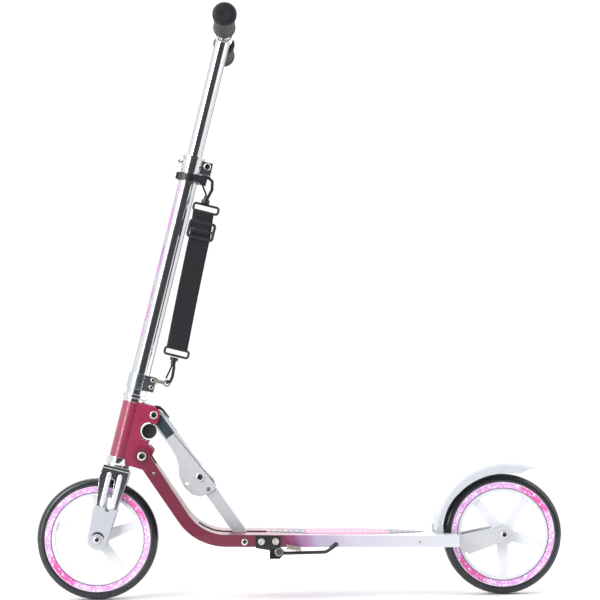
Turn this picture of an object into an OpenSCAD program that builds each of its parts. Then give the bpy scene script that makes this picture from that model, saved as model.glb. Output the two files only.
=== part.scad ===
/* [Overall] */
// distance between the wheel axles
wheelbase = 692; // [560:1:840]
// wheel diameter over the tyre
wheel_d = 205; // [170:1:250]
// handlebar height above the ground, measured along the steering axis
bar_reach = 994; // [820:1:1200]
// handlebar width over the grips
bar_w = 360; // [300:1:440]
// deck width
deck_w = 120; // [100:1:146]
// lean of the steering axis
rake = 14; // [8:0.5:20]

/* [Wheels] */
// tyre width
tyre_w = 30; // [24:0.5:34]
// tyre depth outside the coloured ring
tyre_t = 13.2; // [8:0.1:18]
// depth of the coloured ring
ring_t = 11.3; // [8:0.1:16]
// width of the coloured ring
ring_w = 24.8; // [18:0.2:27]
// radius of the wheel's middle boss
boss_r = 20; // [16:0.5:28]
// axle radius
axle_r = 4; // [3:0.1:5]

/* [Steering] */
// radius of the lower stem tube
outer_r = 15.9; // [14.5:0.1:18]
// radius of the sliding stem tube
inner_r = 12.7; // [11:0.1:13.6]
// radius of the steerer inside the head
steer_r = 14.3; // [12.5:0.1:15]
// radius of the head tube
head_r = 18.5; // [18:0.1:20]
// height of the head tube
head_h = 96.4; // [85:0.5:116]
// wall of each tube
tube_wall = 1.8; // [1.2:0.1:2.4]
// thickness of a fork leg
leg_t = 8; // [6:0.5:11]

/* [Frame] */
// thickness of the deck
deck_t = 20; // [17:0.5:24]
// thickness of the down tube at the head
spar_t = 23.6; // [20:0.2:28]
// half width of the down tube at the head
spar_head_w = 32; // [28.5:0.5:38]
// half width of the slot for the strut
slot_w = 14; // [12.5:0.1:16]
// radius of the fold bolt
fold_r = 5; // [3.5:0.1:6]

/* [Strut] */
// half width of the upper strut
strut_w = 14.5; // [14:0.1:15]
// sheet thickness of the upper strut
strut_t = 2.5; // [2:0.1:3]
// distance from the knee bolt to the detent
detent_r = 25.4; // [21:0.1:28]

/* [Strap] */
// width of the webbing
web_w = 36; // [28:0.5:42]
// thickness of the webbing
web_t = 2; // [1.2:0.1:3]

/* [Hidden] */
$fn = 96;
wheel_r = wheel_d / 2;
fx = -wheelbase / 2;
rx = wheelbase / 2;
bar_half = bar_w / 2;
deck_half = deck_w / 2;
fork_offset = 3.1;
axle_s = (wheel_r - fork_offset * sin(rake)) / cos(rake);
foot_x = fx - (-fork_offset * cos(rake) + axle_s * sin(rake));
crown_s = axle_s + wheel_r + 18.64;
head_s = crown_s + 21.3;
head_top = head_s + head_h;
flange_s = head_top + 7.3;
collar_s = head_top + 23.3;
clamp_s = bar_reach - 229.5;
tube_top = clamp_s + 10.5;
strap_s = clamp_s - 24.5;
rest_s = bar_reach - 334;
slide_low = 190;
eye_s = collar_s + 21.5;
run = 0.06;
function world(t, s) = [foot_x + t * cos(rake) + s * sin(rake),
                        -t * sin(rake) + s * cos(rake)];
p0_t = head_r + 18;
p0_s = head_s + 11.7;
p1_t = head_r + 20.7;
p1_s = head_top - 13;
p0 = world(p0_t, p0_s);
p1 = world(p1_t, p1_s);
slope = 0.78;
bend_x = fx + 171.1;
mid_z = wheel_r - 0.2;
function mid(x) = mid_z - (x - bend_x) * tan(slope);
function top(x) = mid(x) + deck_t / 2;
function low(x) = mid(x) - deck_t / 2;
p3 = [fx + 248, wheel_r - 3];
link = p3 - p1;
link_len = norm(link);
knee = p1 + link * 0.5048 + 1.14 * [-link[1], link[0]] / link_len;
upper_v = knee - p1;
upper_len = norm(upper_v);
upper_a = atan2(-upper_v[1], upper_v[0]);
lower_v = p3 - knee;
lower_len = norm(lower_v);
lower_a = atan2(-lower_v[1], lower_v[0]);
knee_turn = 97.32;
spar_v = [bend_x - p0[0], mid_z - p0[1]];
spar_len = norm(spar_v);
spar_a = atan2(-spar_v[1], spar_v[0]);
bend_turn = spar_a - slope;
bend_r = 89;
bend_cut = bend_r * tan(bend_turn / 2);
bend_steps = 12;
seam_x = fx + 309;
seam_low_x = fx + 325.6;
deck_end = rx - 82;
notch_x = rx - 108;
notch_w = tyre_w / 2 + 9;
plate_y = notch_w - 5;
arc_start = [bend_x - bend_cut * cos(spar_a), mid_z + bend_cut * sin(spar_a)];
arc_mid = arc_start + bend_r * [sin(spar_a), cos(spar_a)];
function bend_pt(i, off) = let (a = spar_a - bend_turn * i / bend_steps)
    arc_mid - (bend_r + off) * [sin(a), cos(a)];
function spar_edge(off) = [for (i = [0:bend_steps]) bend_pt(i, off)];
spar_n = [sin(spar_a), cos(spar_a)];
leg_in = tyre_w / 2 + 4;
leg_out = leg_in + leg_t;
cheek_in = head_r - 2.5;
cheek_out = cheek_in + 6;
fork_in = cheek_out + 0.5;
kick_x = fx + 304.7;
kick_z = low(kick_x) - 9.5;
kick_lean = 12;
tape_x0 = fx + 287.4;
tape_x1 = rx - 133.2;
tape_half = min(44, deck_half - 10);
fender_r = wheel_r + 18.5;
fender_pin_a = 173;
strap_y = -24;

/* [Output] */
// piece to build

module steer_frame() {
  translate([foot_x, 0, 0]) rotate([0, rake, 0]) children();
}

module across(r, y0, y1) {
  translate([0, y1, 0]) rotate([90, 0, 0]) cylinder(r = r, h = y1 - y0);
}

module slab(y0, y1) {
  translate([0, y1, 0]) rotate([90, 0, 0]) linear_extrude(y1 - y0) children();
}

function unit(v) = v / norm(v);
function along(p, i) = unit(p[min(i + 1, len(p) - 1)] - p[max(i - 1, 0)]);
function side(p, i, r) = p[i] + r * [-along(p, i)[1], along(p, i)[0]];

module path(p, r, half) {
  slab(strap_y - half, strap_y + half)
    polygon(concat([for (i = [0:len(p) - 1]) side(p, i, r)],
                   [for (i = [len(p) - 1:-1:0]) side(p, i, -r)]));
}

module hoop(half, height, r) {
  difference() {
    cube([2 * half + 2 * r, 2 * r, height + 2 * r], center = true);
    cube([2 * half - 2 * r, 4 * r, height - 2 * r], center = true);
  }
}

module in_upper() {
  translate([p1[0], 0, p1[1]]) rotate([0, upper_a, 0]) children();
}

module in_lower() {
  translate([knee[0], 0, knee[1]]) rotate([0, lower_a, 0]) children();
}

module spar_side(extra) {
  polygon(concat(
    [p0 + (spar_t / 2 + extra) * spar_n],
    spar_edge(-deck_t / 2),
    [[seam_x, top(seam_x)], [seam_low_x, low(seam_low_x)]],
    [for (i = [bend_steps:-1:0]) bend_pt(i, deck_t / 2)],
    [p0 - (spar_t / 2 + extra) * spar_n]));
}

module frame_spar() {
  color([0.55, 0.18, 0.32]) difference() {
    intersection() {
      union() {
        slab(-deck_half, deck_half) spar_side(0);
        translate([p0[0], 0, p0[1]]) across(14, -deck_half, deck_half);
      }
      translate([fx - 200, 0, 0]) rotate([90, 0, 90]) linear_extrude(wheelbase)
        polygon([[-deck_half, 0], [deck_half, 0], [deck_half, top(bend_x)],
                 [spar_head_w, p0[1] - 7.5], [spar_head_w, p0[1] + 30],
                 [-spar_head_w, p0[1] + 30], [-spar_head_w, p0[1] - 7.5],
                 [-deck_half, top(bend_x)]]);
    }
    translate([p0[0], 0, p0[1]]) across(27, -fork_in, fork_in);
    translate([p0[0], 0, p0[1]]) across(fold_r, -deck_half, deck_half);
    translate([fx + 171, -slot_w, low(bend_x) - 30]) cube([116, 2 * slot_w, deck_t + 80]);
    translate([p3[0], 0, p3[1]]) across(3, -deck_half - 1, deck_half + 1);
  }
}

module deck() {
  color([0.84, 0.8, 0.86]) difference() {
    slab(-deck_half, deck_half)
      polygon([[seam_x, top(seam_x)], [deck_end, top(deck_end)],
               [deck_end, low(deck_end)], [seam_low_x, low(seam_low_x)]]);
    translate([notch_x, -notch_w, 0]) cube([200, 2 * notch_w, wheel_r + 60]);
    for (y = [-1, 0, 1])
      translate([seam_x - 1, y * (deck_half * 0.64) - deck_half * 0.27, low(deck_end) + 5.5])
        cube([notch_x - seam_x - 12, deck_half * 0.54, deck_t - 10]);
  }
}

module grip_tape() {
  half = (tape_x1 - tape_x0) / 2;
  big = (half * half + tape_half * tape_half) / (2 * tape_half);
  color([0.75, 0.55, 0.62])
    translate([tape_x0 + half, 0, top(tape_x0 + half)]) rotate([0, slope, 0])
      intersection() {
        translate([0, big - tape_half, 0]) cylinder(r = big, h = 1.2);
        translate([0, tape_half - big, 0]) cylinder(r = big, h = 1.2);
      }
}

module dropout(y0, y1) {
  difference() {
    union() {
      slab(y0, y1)
        polygon([[notch_x, wheel_r - 4], [rx - 77, wheel_r - 0.5], [rx - 40, wheel_r + 7],
                 [rx - 12, wheel_r + 12], [rx, wheel_r + 12.5], [rx + 9.5, wheel_r - 8],
                 [rx - 6, wheel_r - 13.5], [rx - 60.6, wheel_r - 32.5],
                 [rx - 72.8, wheel_r - 21], [rx - 83, wheel_r - 19], [notch_x, wheel_r - 19]]);
      translate([rx, 0, wheel_r]) across(12.5, y0, y1);
    }
    translate([rx, 0, wheel_r]) across(axle_r, y0 - 1, y1 + 1);
  }
}

module dropout_left() {
  color([0.86, 0.86, 0.88]) dropout(-notch_w, -plate_y);
}

module dropout_right() {
  color([0.86, 0.86, 0.88]) dropout(plate_y, notch_w);
}

module axle(x, z, reach) {
  translate([x, 0, z]) {
    across(axle_r, -reach - 1, reach + 1);
    across(6.5, -reach - 5, -reach);
    across(6.5, reach, reach + 5);
  }
}

module rear_axle() {
  color([0.8, 0.8, 0.82]) axle(rx, wheel_r, notch_w);
}

module fold_bolt() {
  color([0.8, 0.8, 0.82]) translate([p0[0], 0, p0[1]]) {
    across(fold_r, -spar_head_w - 1, spar_head_w + 1);
    for (y = [-spar_head_w - 4, spar_head_w + 0.5])
      across(fold_r + 3, y, y + 3.5);
  }
}

module strut_foot_bolts() {
  color([0.8, 0.8, 0.82]) translate([p3[0], 0, p3[1]]) for (y = [-1, 1]) {
    across(3, min(y * (slot_w + 4), y * (deck_half + 1)), max(y * (slot_w + 4), y * (deck_half + 1)));
    across(5.6, min(y * deck_half, y * (deck_half + 3)), max(y * deck_half, y * (deck_half + 3)));
  }
}

module kick_bracket() {
  y = -deck_half;
  color([0.13, 0.13, 0.14]) {
    slab(y - 4, y)
      polygon([[kick_x - 38, top(kick_x) - 0.5], [kick_x + 2.5, top(kick_x) - 0.5],
               [kick_x + 2.5, low(kick_x) - 2], [kick_x - 3, low(kick_x) - 5],
               [kick_x - 14, low(kick_x) - 5], [kick_x - 38, low(kick_x) - 1]]);
    translate([kick_x, y - 2, kick_z]) rotate([-kick_lean, 0, 0])
      slab(-3, 1) polygon([[-15, -10], [2, -10], [8.5, -3], [8.5, 4], [3, 9.5], [-15, 9.5]]);
  }
}

module kick_bolts() {
  color([0.75, 0.76, 0.78]) for (x = [-28.7, -4.9])
    translate([kick_x + x, 0, wheel_r - 2.2]) difference() {
      across(5.6, -deck_half - 7.5, -deck_half - 4);
      across(2.6, -deck_half - 9, -deck_half - 5.5);
    }
}

module fender_pin() {
  a = fender_pin_a;
  px = rx + (fender_r - 9) * cos(a);
  pz = wheel_r + (fender_r - 9) * sin(a);
  w = notch_w + 6;
  color([0.8, 0.8, 0.82]) {
    translate([px, 0, pz]) across(3, -w, w);
    for (y = [-w, notch_w + 0.7]) difference() {
      union() {
        slab(y, y + 5.3) polygon([[px - 6, top(px - 6)], [px + 6, top(px + 6)],
                                  [px + 6, pz], [px - 6, pz]]);
        translate([px, 0, pz]) across(6, y, y + 5.3);
      }
      translate([px, 0, pz]) across(3, y - 1, y + 7);
    }
  }
}

module head_plate(y0, y1) {
  difference() {
    slab(y0, y1) polygon([[8, head_top + 2.3], [p1_t, head_top + 1.3], [p1_t + 8, p1_s + 8],
                          [p1_t + 10.5, p1_s], [p1_t + 9, p1_s - 8], [p1_t + 1.7, p1_s - 51.7],
                          [p0_t + 8.5, p0_s + 19.9], [p0_t + 12.2, p0_s + 18],
                          [p0_t + 15.1, p0_s + 15.7], [p0_t + 17.6, p0_s + 12.8],
                          [p0_t + 15.5, p0_s + 3.7], [p0_t + 5.4, p0_s - 22.4],
                          [15.4, head_s - 9], [11.2, head_s + 0.3], [8, head_s + 0.3]]);
    translate([p1_t - 1.5, 0, p1_s - 29.2]) across(15.8, y0 - 1, y1 + 1);
    translate([p0_t, 0, p0_s]) across(fold_r + run, y0 - 1, y1 + 1);
    translate([p1_t, 0, p1_s]) across(4.5, y0 - 1, y1 + 1);
    translate([0, 0, head_s - 30]) cylinder(r = head_r - 2.5, h = head_h + 60);
    translate([0, 0, head_s - 30]) cylinder(r = head_r + 4.3, h = 30);
    translate([0, 0, head_top]) cylinder(r = head_r + 4.3, h = 30);
  }
}

module head_tube() {
  color([0.63, 0.18, 0.32]) steer_frame() {
    difference() {
      translate([0, 0, head_s]) cylinder(r = head_r, h = head_h);
      translate([0, 0, head_s - 1]) cylinder(r = head_r - 2.5, h = head_h + 2);
    }
    head_plate(-cheek_out, -cheek_in);
    head_plate(cheek_in, cheek_out);
  }
}

module cup_lower() {
  color([0.3, 0.31, 0.33]) steer_frame() difference() {
    union() {
      translate([0, 0, crown_s + 5.6]) cylinder(r1 = 20, r2 = 21.5, h = 6);
      translate([0, 0, crown_s + 11.6]) cylinder(r = 21.5, h = 9.7);
      translate([0, 0, head_s]) cylinder(r = head_r - 2.5, h = 10);
    }
    translate([0, 0, crown_s]) cylinder(r = steer_r + run, h = 60);
  }
}

module cup_upper() {
  color([0.3, 0.31, 0.33]) steer_frame() difference() {
    union() {
      translate([0, 0, head_top]) cylinder(r = 19.8, h = 6.6);
      translate([0, 0, head_top - 10]) cylinder(r = head_r - 2.5, h = 10);
    }
    translate([0, 0, head_top - 20]) cylinder(r = steer_r + run, h = 60);
  }
}

module strut_head_bolt() {
  color([0.8, 0.8, 0.82]) steer_frame() translate([p1_t, 0, p1_s]) {
    across(4.5, -cheek_out - 0.5, cheek_out + 0.5);
    for (y = [-cheek_out - 3.5, cheek_out]) across(7, y, y + 3.5);
  }
}

module fork_crown() {
  color([0.63, 0.18, 0.32]) steer_frame() {
    translate([-23.6, -leg_out, crown_s]) cube([46.3, 2 * leg_out, 5.5]);
    difference() {
      translate([0, 0, crown_s + 5]) cylinder(r = steer_r, h = flange_s + 15.4 - crown_s - 5);
      translate([0, 0, crown_s + 12]) cylinder(r = steer_r - 3, h = flange_s - crown_s + 20);
    }
  }
}

module fork_leg(y0, y1) {
  a = axle_s;
  difference() {
    union() {
      slab(y0, y1) polygon([[-23.6, crown_s], [22.7, crown_s], [22.6, crown_s - 18],
                            [18.3, crown_s - 52], [15.8, crown_s - 96], [14.5, a + 8],
                            [-fork_offset + 15, a - 5], [-fork_offset - 15, a - 5],
                            [-fork_offset - 16, a], [-20.7, crown_s - 96], [-22.2, crown_s - 72.5],
                            [-18.9, crown_s - 62.4], [-20.5, crown_s - 52],
                            [-25.3, crown_s - 18]]);
      translate([-fork_offset, 0, a]) across(16, y0, y1);
    }
    slab(y0 - 1, y1 + 1) polygon([[-7.5, crown_s - 20.5], [1.5, crown_s - 20.5],
                                  [6.2, crown_s - 67.5], [-2.8, crown_s - 67.5]]);
    translate([-3, 0, crown_s - 20.5]) across(4.5, y0 - 1, y1 + 1);
    translate([1.7, 0, crown_s - 67.5]) across(4.5, y0 - 1, y1 + 1);
    translate([-fork_offset, 0, a]) across(axle_r, y0 - 1, y1 + 1);
  }
}

module fork_leg_left() {
  color([0.8, 0.8, 0.84]) steer_frame() fork_leg(-leg_out, -leg_in);
}

module fork_leg_right() {
  color([0.8, 0.8, 0.84]) steer_frame() fork_leg(leg_in, leg_out);
}

module front_axle() {
  color([0.8, 0.8, 0.82]) axle(fx, wheel_r, leg_out);
}

module headset_nuts() {
  color([0.18, 0.18, 0.19]) steer_frame() difference() {
    union() {
      translate([0, 0, flange_s]) cylinder(r = 22.5, h = 6);
      translate([0, 0, flange_s + 6]) cylinder(r = 18, h = 9.4);
    }
    translate([0, 0, flange_s - 1]) cylinder(r = steer_r, h = 20);
  }
}

module outer_tube() {
  color([0.82, 0.83, 0.85]) steer_frame() difference() {
    translate([0, 0, collar_s]) cylinder(r = outer_r, h = tube_top - collar_s);
    translate([0, 0, collar_s - 1]) cylinder(r = inner_r + 0.1, h = tube_top - collar_s + 2);
    translate([0, 0, clamp_s]) rotate([0, -90, 0]) cylinder(r = 3.1, h = 30);
  }
}

module lower_collar() {
  color([0.38, 0.44, 0.48]) steer_frame() {
    difference() {
      translate([0, 0, collar_s]) cylinder(r = outer_r + 4, h = 26);
      translate([0, 0, collar_s - 1]) cylinder(r = outer_r, h = 28);
      translate([outer_r - 2, -15, collar_s - 1]) cube([20, 30, 28]);
    }
    for (y = [-18.7, 15.5])
      difference() {
        translate([8, y, collar_s]) cube([20, 3.2, 26]);
        translate([0, 0, collar_s - 1]) cylinder(r = outer_r + 4, h = 28);
      }
  }
}

module collar_bolts() {
  color([0.8, 0.8, 0.82]) steer_frame() for (s = [8.2, 20.6]) translate([23.4, 0, collar_s + s])
    for (y = [-21.2, 18.7]) across(3.5, y, y + 2.5);
}

module eyelet_tab() {
  color([0.62, 0.6, 0.57]) steer_frame() difference() {
    union() {
      translate([28, -18.7, collar_s + 15]) cube([3, 3.2, 11]);
      translate([28, -25, collar_s + 15]) cube([3, 6.3, 11]);
      translate([28, -25, collar_s + 18]) cube([16, 2.5, 6]);
      translate([48, 0, eye_s]) across(6.2, -25, -22.5);
    }
    translate([48, 0, eye_s]) across(3.6, -30, -20);
  }
}

module height_clamp() {
  color([0.2, 0.2, 0.21]) steer_frame() difference() {
    union() {
      translate([0, 0, clamp_s - 13.5]) cylinder(r = outer_r + 1.5, h = 22);
      translate([0, 0, tube_top - 2]) cylinder(r = outer_r + 3, h = 4);
      translate([14.5, -8, clamp_s - 13.5]) cube([20, 16, 22]);
    }
    translate([0, 0, clamp_s - 20]) cylinder(r = outer_r, h = 20 + 10.5);
    translate([0, 0, clamp_s]) cylinder(r = inner_r + 0.1, h = 20);
    translate([outer_r - 3, -1.2, clamp_s - 14]) cube([30, 2.4, 23]);
    translate([0, 0, clamp_s]) rotate([0, -90, 0]) cylinder(r = 3.1, h = 30);
    translate([25.9, 0, clamp_s + 0.7]) across(3, -20, 20);
  }
}

module clamp_bolt() {
  color([0.8, 0.8, 0.82]) steer_frame() translate([25.9, 0, clamp_s + 0.7]) {
    across(3, -9, 15);
    across(6.5, -12, -8);
    across(5, 8, 12);
  }
}

module strap_collar() {
  color([0.12, 0.12, 0.13]) steer_frame() {
    difference() {
      union() {
        translate([0, 0, strap_s - 7]) cylinder(r = outer_r + 4, h = 13);
        translate([-outer_r - 7, -5, strap_s - 6]) cube([8, 10, 11]);
        translate([8, -30.5, strap_s - 7]) cube([13, 13.5, 13]);
      }
      translate([0, 0, strap_s - 9]) cylinder(r = outer_r, h = 20);
    }
    for (y = [-30.5, -19.5]) difference() {
      translate([21, y, strap_s - 9]) cube([10.5, 2.5, 17]);
      translate([27.5, 0, strap_s - 2]) across(2, y - 1, y + 4);
    }
    translate([27.5, 0, strap_s - 2]) across(2, -30.5, -17);
  }
}

module hook_upper() {
  z = strap_s;
  color([0.14, 0.15, 0.16]) steer_frame() {
    path([[23.6, z + 2.2], [27.5, z + 2.55], [33.5, z + 5.5], [41, z + 1], [43.9, z - 13],
          [40, z - 28]], 2.5, 2.5);
    translate([38, strap_y, z - 33]) cylinder(r = 4.6, h = 6.5);
    translate([38, strap_y, z - 39]) cylinder(r = 7, h = 6.5);
  }
}

module gate_upper() {
  z = strap_s;
  color([0.3, 0.3, 0.31]) steer_frame()
    path([[23.2, z - 0.4], [23.2, z - 5], [35.8, z - 23], [35.8, z - 26.5]], 1.6, 1.6);
}

module ring_upper() {
  color([0.14, 0.15, 0.16]) steer_frame() translate([38, strap_y, strap_s - 46.5])
    hoop(20.5, 9.5, 2.4);
}

module slider() {
  color([0.14, 0.15, 0.16]) steer_frame() translate([43, strap_y, strap_s - 85]) difference() {
    cube([web_w + 6, 6, 24], center = true);
    for (z = [-6, 6]) translate([0, 0, z]) cube([web_w + 0.6, 8, 7], center = true);
  }
}

module webbing() {
  z0 = collar_s + 79;
  z1 = strap_s - 55;
  color([0.15, 0.16, 0.17]) steer_frame() translate([43 - web_w / 2, strap_y, z0]) {
    difference() {
      translate([0, -web_t / 2, 0]) cube([web_w, web_t, z1 - z0]);
      translate([-1, -5, strap_s - 85 - z0 - 12.2]) cube([web_w + 2, 10, 3]);
      translate([-1, -5, strap_s - 85 - z0 - 2.7]) cube([web_w + 2, 10, 5.4]);
      translate([-1, -5, strap_s - 85 - z0 + 9.2]) cube([web_w + 2, 10, 3]);
    }
  }
}

module ring_lower() {
  color([0.14, 0.15, 0.16]) steer_frame() translate([50, strap_y, collar_s + 78])
    translate([0, 0, -5]) hoop(20, 7.5, 2.2);
}

module hook_lower() {
  z = collar_s;
  color([0.14, 0.15, 0.16]) steer_frame() {
    translate([50, strap_y, z + 61.5]) cylinder(r = 7, h = 5.55);
    translate([50, strap_y, z + 55]) cylinder(r = 4.4, h = 7);
    translate([0, -4, 0])
      path([[51, z + 57], [53.5, z + 50], [54.5, z + 34], [53, z + 26], [48, eye_s + 1.17]], 2.4, 2);
    translate([48, 0, eye_s + 1.17]) across(2.4, strap_y - 6, strap_y + 4);
  }
}

module gate_lower() {
  z = collar_s;
  color([0.3, 0.3, 0.31]) steer_frame()
    path([[44.5, z + 29], [48.5, z + 49], [48.5, z + 55]], 1.5, 1.5);
}

module stem_tube() {
  color([0.85, 0.86, 0.88]) steer_frame() difference() {
    translate([0, 0, rest_s]) cylinder(r = inner_r, h = bar_reach - rest_s);
    translate([0, 0, rest_s - 1]) cylinder(r = inner_r - tube_wall, h = bar_reach - rest_s - 12);
    translate([0, 0, bar_reach]) across(inner_r + 2, -40, 40);
    for (i = [0:5])
      translate([0, 0, clamp_s + 38 * i]) rotate([0, -90, 0]) cylinder(r = 3.4, h = 30);
  }
}

module handlebar() {
  color([0.85, 0.86, 0.88]) steer_frame() translate([0, 0, bar_reach]) difference() {
    union() {
      across(inner_r, -bar_half + 4, bar_half - 4);
      across(inner_r + 2, -19, 19);
    }
    across(inner_r - tube_wall, -bar_half, bar_half);
  }
}

module grip() {
  s = bar_half - 115;
  rotate([90, 0, 0]) rotate_extrude()
    polygon([[inner_r, s], [15.5, s + 0.5], [18, s + 3], [18.8, s + 7], [18.6, s + 12],
             [17.6, s + 20], [17.2, s + 34], [17.2, s + 60], [17.5, s + 82], [18, s + 92],
             [18.2, s + 101], [19.5, s + 103.5], [19.9, s + 107], [19.4, s + 112],
             [17, s + 115], [0, s + 115], [0, s + 111.2], [inner_r, s + 111.2]]);
}

module grip_left() {
  color([0.16, 0.17, 0.19]) steer_frame() translate([0, 0, bar_reach]) grip();
}

module grip_right() {
  color([0.16, 0.17, 0.19]) steer_frame() translate([0, 0, bar_reach]) mirror([0, 1, 0]) grip();
}

module snap_button() {
  color([0.75, 0.76, 0.78]) steer_frame() translate([0, 0, clamp_s]) rotate([0, -90, 0]) {
    translate([0, 0, inner_r + 0.3]) cylinder(r = 3, h = 10);
    translate([0, 0, outer_r + 6]) cylinder(r = 5, h = 4);
  }
}

module clamp_lever() {
  color([0.2, 0.2, 0.21]) steer_frame() translate([25.9, 20.6, clamp_s + 0.7]) {
    translate([0, 0, -6]) cylinder(r = 5.5, h = 12);
    translate([-44, 1, -5]) cube([44, 4, 10]);
  }
}

module strut_upper() {
  w = strut_w;
  cut = strut_w - strut_t;
  k = upper_len;
  color([0.8, 0.81, 0.83]) in_upper() difference() {
    union() {
      slab(-w, w) polygon([[0, -10], [39.9, -10], [k - 70.7, -9.7], [k - 52.6, -11.7],
                           [k - 38.5, -16.6], [k - 22, -27.1], [k - 16.7, -28.7],
                           [k - 1.8, -31], [k + 15, -28], [k + 26, -19.5], [k + 31, -6.3],
                           [k + 31.5, 7.5], [k + 27, 14.5], [7, 14.5], [0, 10.5]]);
      across(10.5, -w, w);
    }
    slab(-cut, cut) polygon([[-20, -40], [k + 60, -40], [k + 60, 14.5 - strut_t],
                             [20, 14.5 - strut_t], [20, 20], [-20, 20]]);
    slab(-cut, cut) polygon([[-20, -40], [46, -40], [46, 20], [-20, 20]]);
    across(4.5 + run, -20, 20);
    translate([k, 0, 0]) across(4.5, -20, 20);
    for (a = [lower_a - upper_a, lower_a - upper_a + knee_turn])
      translate([k, 0, 0]) rotate([0, a, 0]) translate([detent_r, 0, 0]) across(4, -20, 20);
  }
}

module strut_sleeve() {
  color([0.24, 0.3, 0.34]) in_upper() for (y = [-strut_w - 0.7, strut_w])
    slab(y, y + 0.7) polygon([[6, -7], [45, -7], [45, 10], [6, 10]]);
}

module knee_bolt() {
  color([0.8, 0.8, 0.82]) in_lower() {
    across(4.5, -strut_w, strut_w);
    for (y = [-strut_w - 2.5, strut_w]) across(7.5, y, y + 2.5);
  }
}

module strut_lower() {
  w = strut_w - strut_t - 0.3;
  k = lower_len;
  color([0.76, 0.77, 0.79]) in_lower() difference() {
    union() {
      across(11.3, -w, w);
      slab(-w, w) polygon([[0, -8.5], [k - 8, -8.5], [k, -8], [k, 8], [k - 12, 11.3], [0, 11.3]]);
      translate([k, 0, 0]) across(8, -w, w);
    }
    slab(-w + 3, w - 3) polygon([[16, -20], [k - 14, -20], [k - 14, 8.3], [16, 8.3]]);
    across(4.5 + run, -20, 20);
    translate([detent_r, 0, 0]) across(3.5, -20, 20);
  }
}

module detent_pin() {
  w = strut_w - strut_t - 0.1;
  color([0.7, 0.71, 0.73]) in_lower() translate([detent_r, 0, 0]) across(3.5, -w, w);
}

module release_lever() {
  color([0.1, 0.1, 0.11]) in_upper() difference() {
    union() {
      across(8, -10, 10);
      slab(-10, 10) polygon([[-11.5, 4], [-12, 11], [-6, 16.8], [3, 18.6], [18, 18.6],
                             [19.5, 16.4], [4, 15.2], [-3, 12.8], [-7.5, 8.5], [-7, 2]]);
      slab(-4, 4) polygon([[0, -8], [8, -4], [12, -12], [6, -14]]);
    }
    across(4.5 + run, -20, 20);
  }
}

module latch_pad() {
  color([0.07, 0.07, 0.08]) in_upper() difference() {
    translate([17.5, 0, -23.4]) across(12.3, -10, 10);
    slab(-4, 4) polygon([[0, -8], [8, -4], [12, -12], [6, -14]]);
    translate([17.5, 0, -23.4]) across(3, -11, -8);
  }
}

module kick_frame() {
  translate([kick_x, -deck_half - 2, kick_z]) rotate([-kick_lean, 0, 0]) children();
}

module kick_leg() {
  color([0.12, 0.12, 0.13]) kick_frame() difference() {
    union() {
      across(8.5, -10.6, -4);
      translate([0, -7.1, 0]) rotate([0, 90, 0]) cylinder(r = 3.5, h = 84.5);
      translate([84.5, -7.1, 0]) sphere(r = 3.5);
      translate([84.5, -7.1, 0]) rotate([0, 62, 0]) cylinder(r = 3.5, h = 12);
      translate([84.5, -7.1, 0]) rotate([0, 0, 0]) cylinder(r = 4.2, h = 16);
      translate([84.5, -7.1, 16]) sphere(r = 4.2);
    }
    across(4, -12, 0);
  }
}

module kick_spring() {
  color([0.3, 0.3, 0.31]) kick_frame() translate([14, -7.1, 8])
    rotate([0, 90, 0]) difference() {
      cylinder(r = 4, h = 25);
      translate([0, 0, -1]) cylinder(r = 2.4, h = 27);
    }
}

module kick_pivot() {
  color([0.75, 0.76, 0.78]) kick_frame() {
    across(4, -10.6, -3.6);
    across(6.5, -13, -10.6);
  }
}

module fender() {
  r = fender_r;
  q = notch_w - 1;
  pr = fender_r - 9;
  color([0.82, 0.83, 0.87]) translate([rx, 0, wheel_r]) difference() {
    rotate([90, 0, 0]) rotate([0, 0, 64]) rotate_extrude(angle = 112.4)
      polygon([[r - 17, -q], [r - 4, -q], [r - 1, -q + 4], [r, -q + 10], [r, q - 10],
               [r - 1, q - 4], [r - 4, q], [r - 17, q], [r - 17, q - 2.3], [r - 5, q - 2.3],
               [r - 3, q - 6], [r - 2.5, q - 11], [r - 2.5, -q + 11], [r - 3, -q + 6],
               [r - 5, -q + 2.3], [r - 17, -q + 2.3]]);
    translate([pr * cos(fender_pin_a), 0, pr * sin(fender_pin_a)]) across(3 + run, -60, 60);
  }
}

module tyre(x) {
  r = wheel_r;
  w = tyre_w / 2;
  i = wheel_r - tyre_t;
  translate([x, 0, wheel_r]) rotate([90, 0, 0]) rotate_extrude()
    polygon([[i, -w + 2], [i + 2, -w], [r - 7, -w], [r - 3, -w + 2.2], [r - 0.8, -w + 6],
             [r, -w + 11], [r, w - 11], [r - 0.8, w - 6], [r - 3, w - 2.2], [r - 7, w],
             [i + 2, w], [i, w - 2]]);
}

module front_tyre() {
  color([0.17, 0.18, 0.2]) tyre(fx);
}

module rear_tyre() {
  color([0.17, 0.18, 0.2]) tyre(rx);
}

module ring(x) {
  o = wheel_r - tyre_t;
  i = o - ring_t;
  w = ring_w / 2;
  translate([x, 0, wheel_r]) rotate([90, 0, 0]) rotate_extrude()
    polygon([[i, -w], [o, -w], [o, w], [i, w]]);
}

module front_ring() {
  color([0.88, 0.6, 0.85]) ring(fx);
}

module rear_ring() {
  color([0.88, 0.6, 0.85]) ring(rx);
}

module rim(x, turn) {
  o = wheel_r - tyre_t - ring_t;
  translate([x, 0, wheel_r]) difference() {
    union() {
      difference() {
        across(o, -11, 11);
        across(o - 5.5, -12, 12);
      }
      across(boss_r, -12, 12);
      for (k = [0:4]) rotate([0, -turn - 72 * k, 0])
        slab(-8, 8) polygon([[boss_r - 4, -9], [o - 3, -6], [o - 3, 6], [boss_r - 4, 9]]);
    }
    across(11, -13, 13);
  }
}

module front_rim() {
  color([0.94, 0.95, 0.96]) rim(fx, 20);
}

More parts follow.
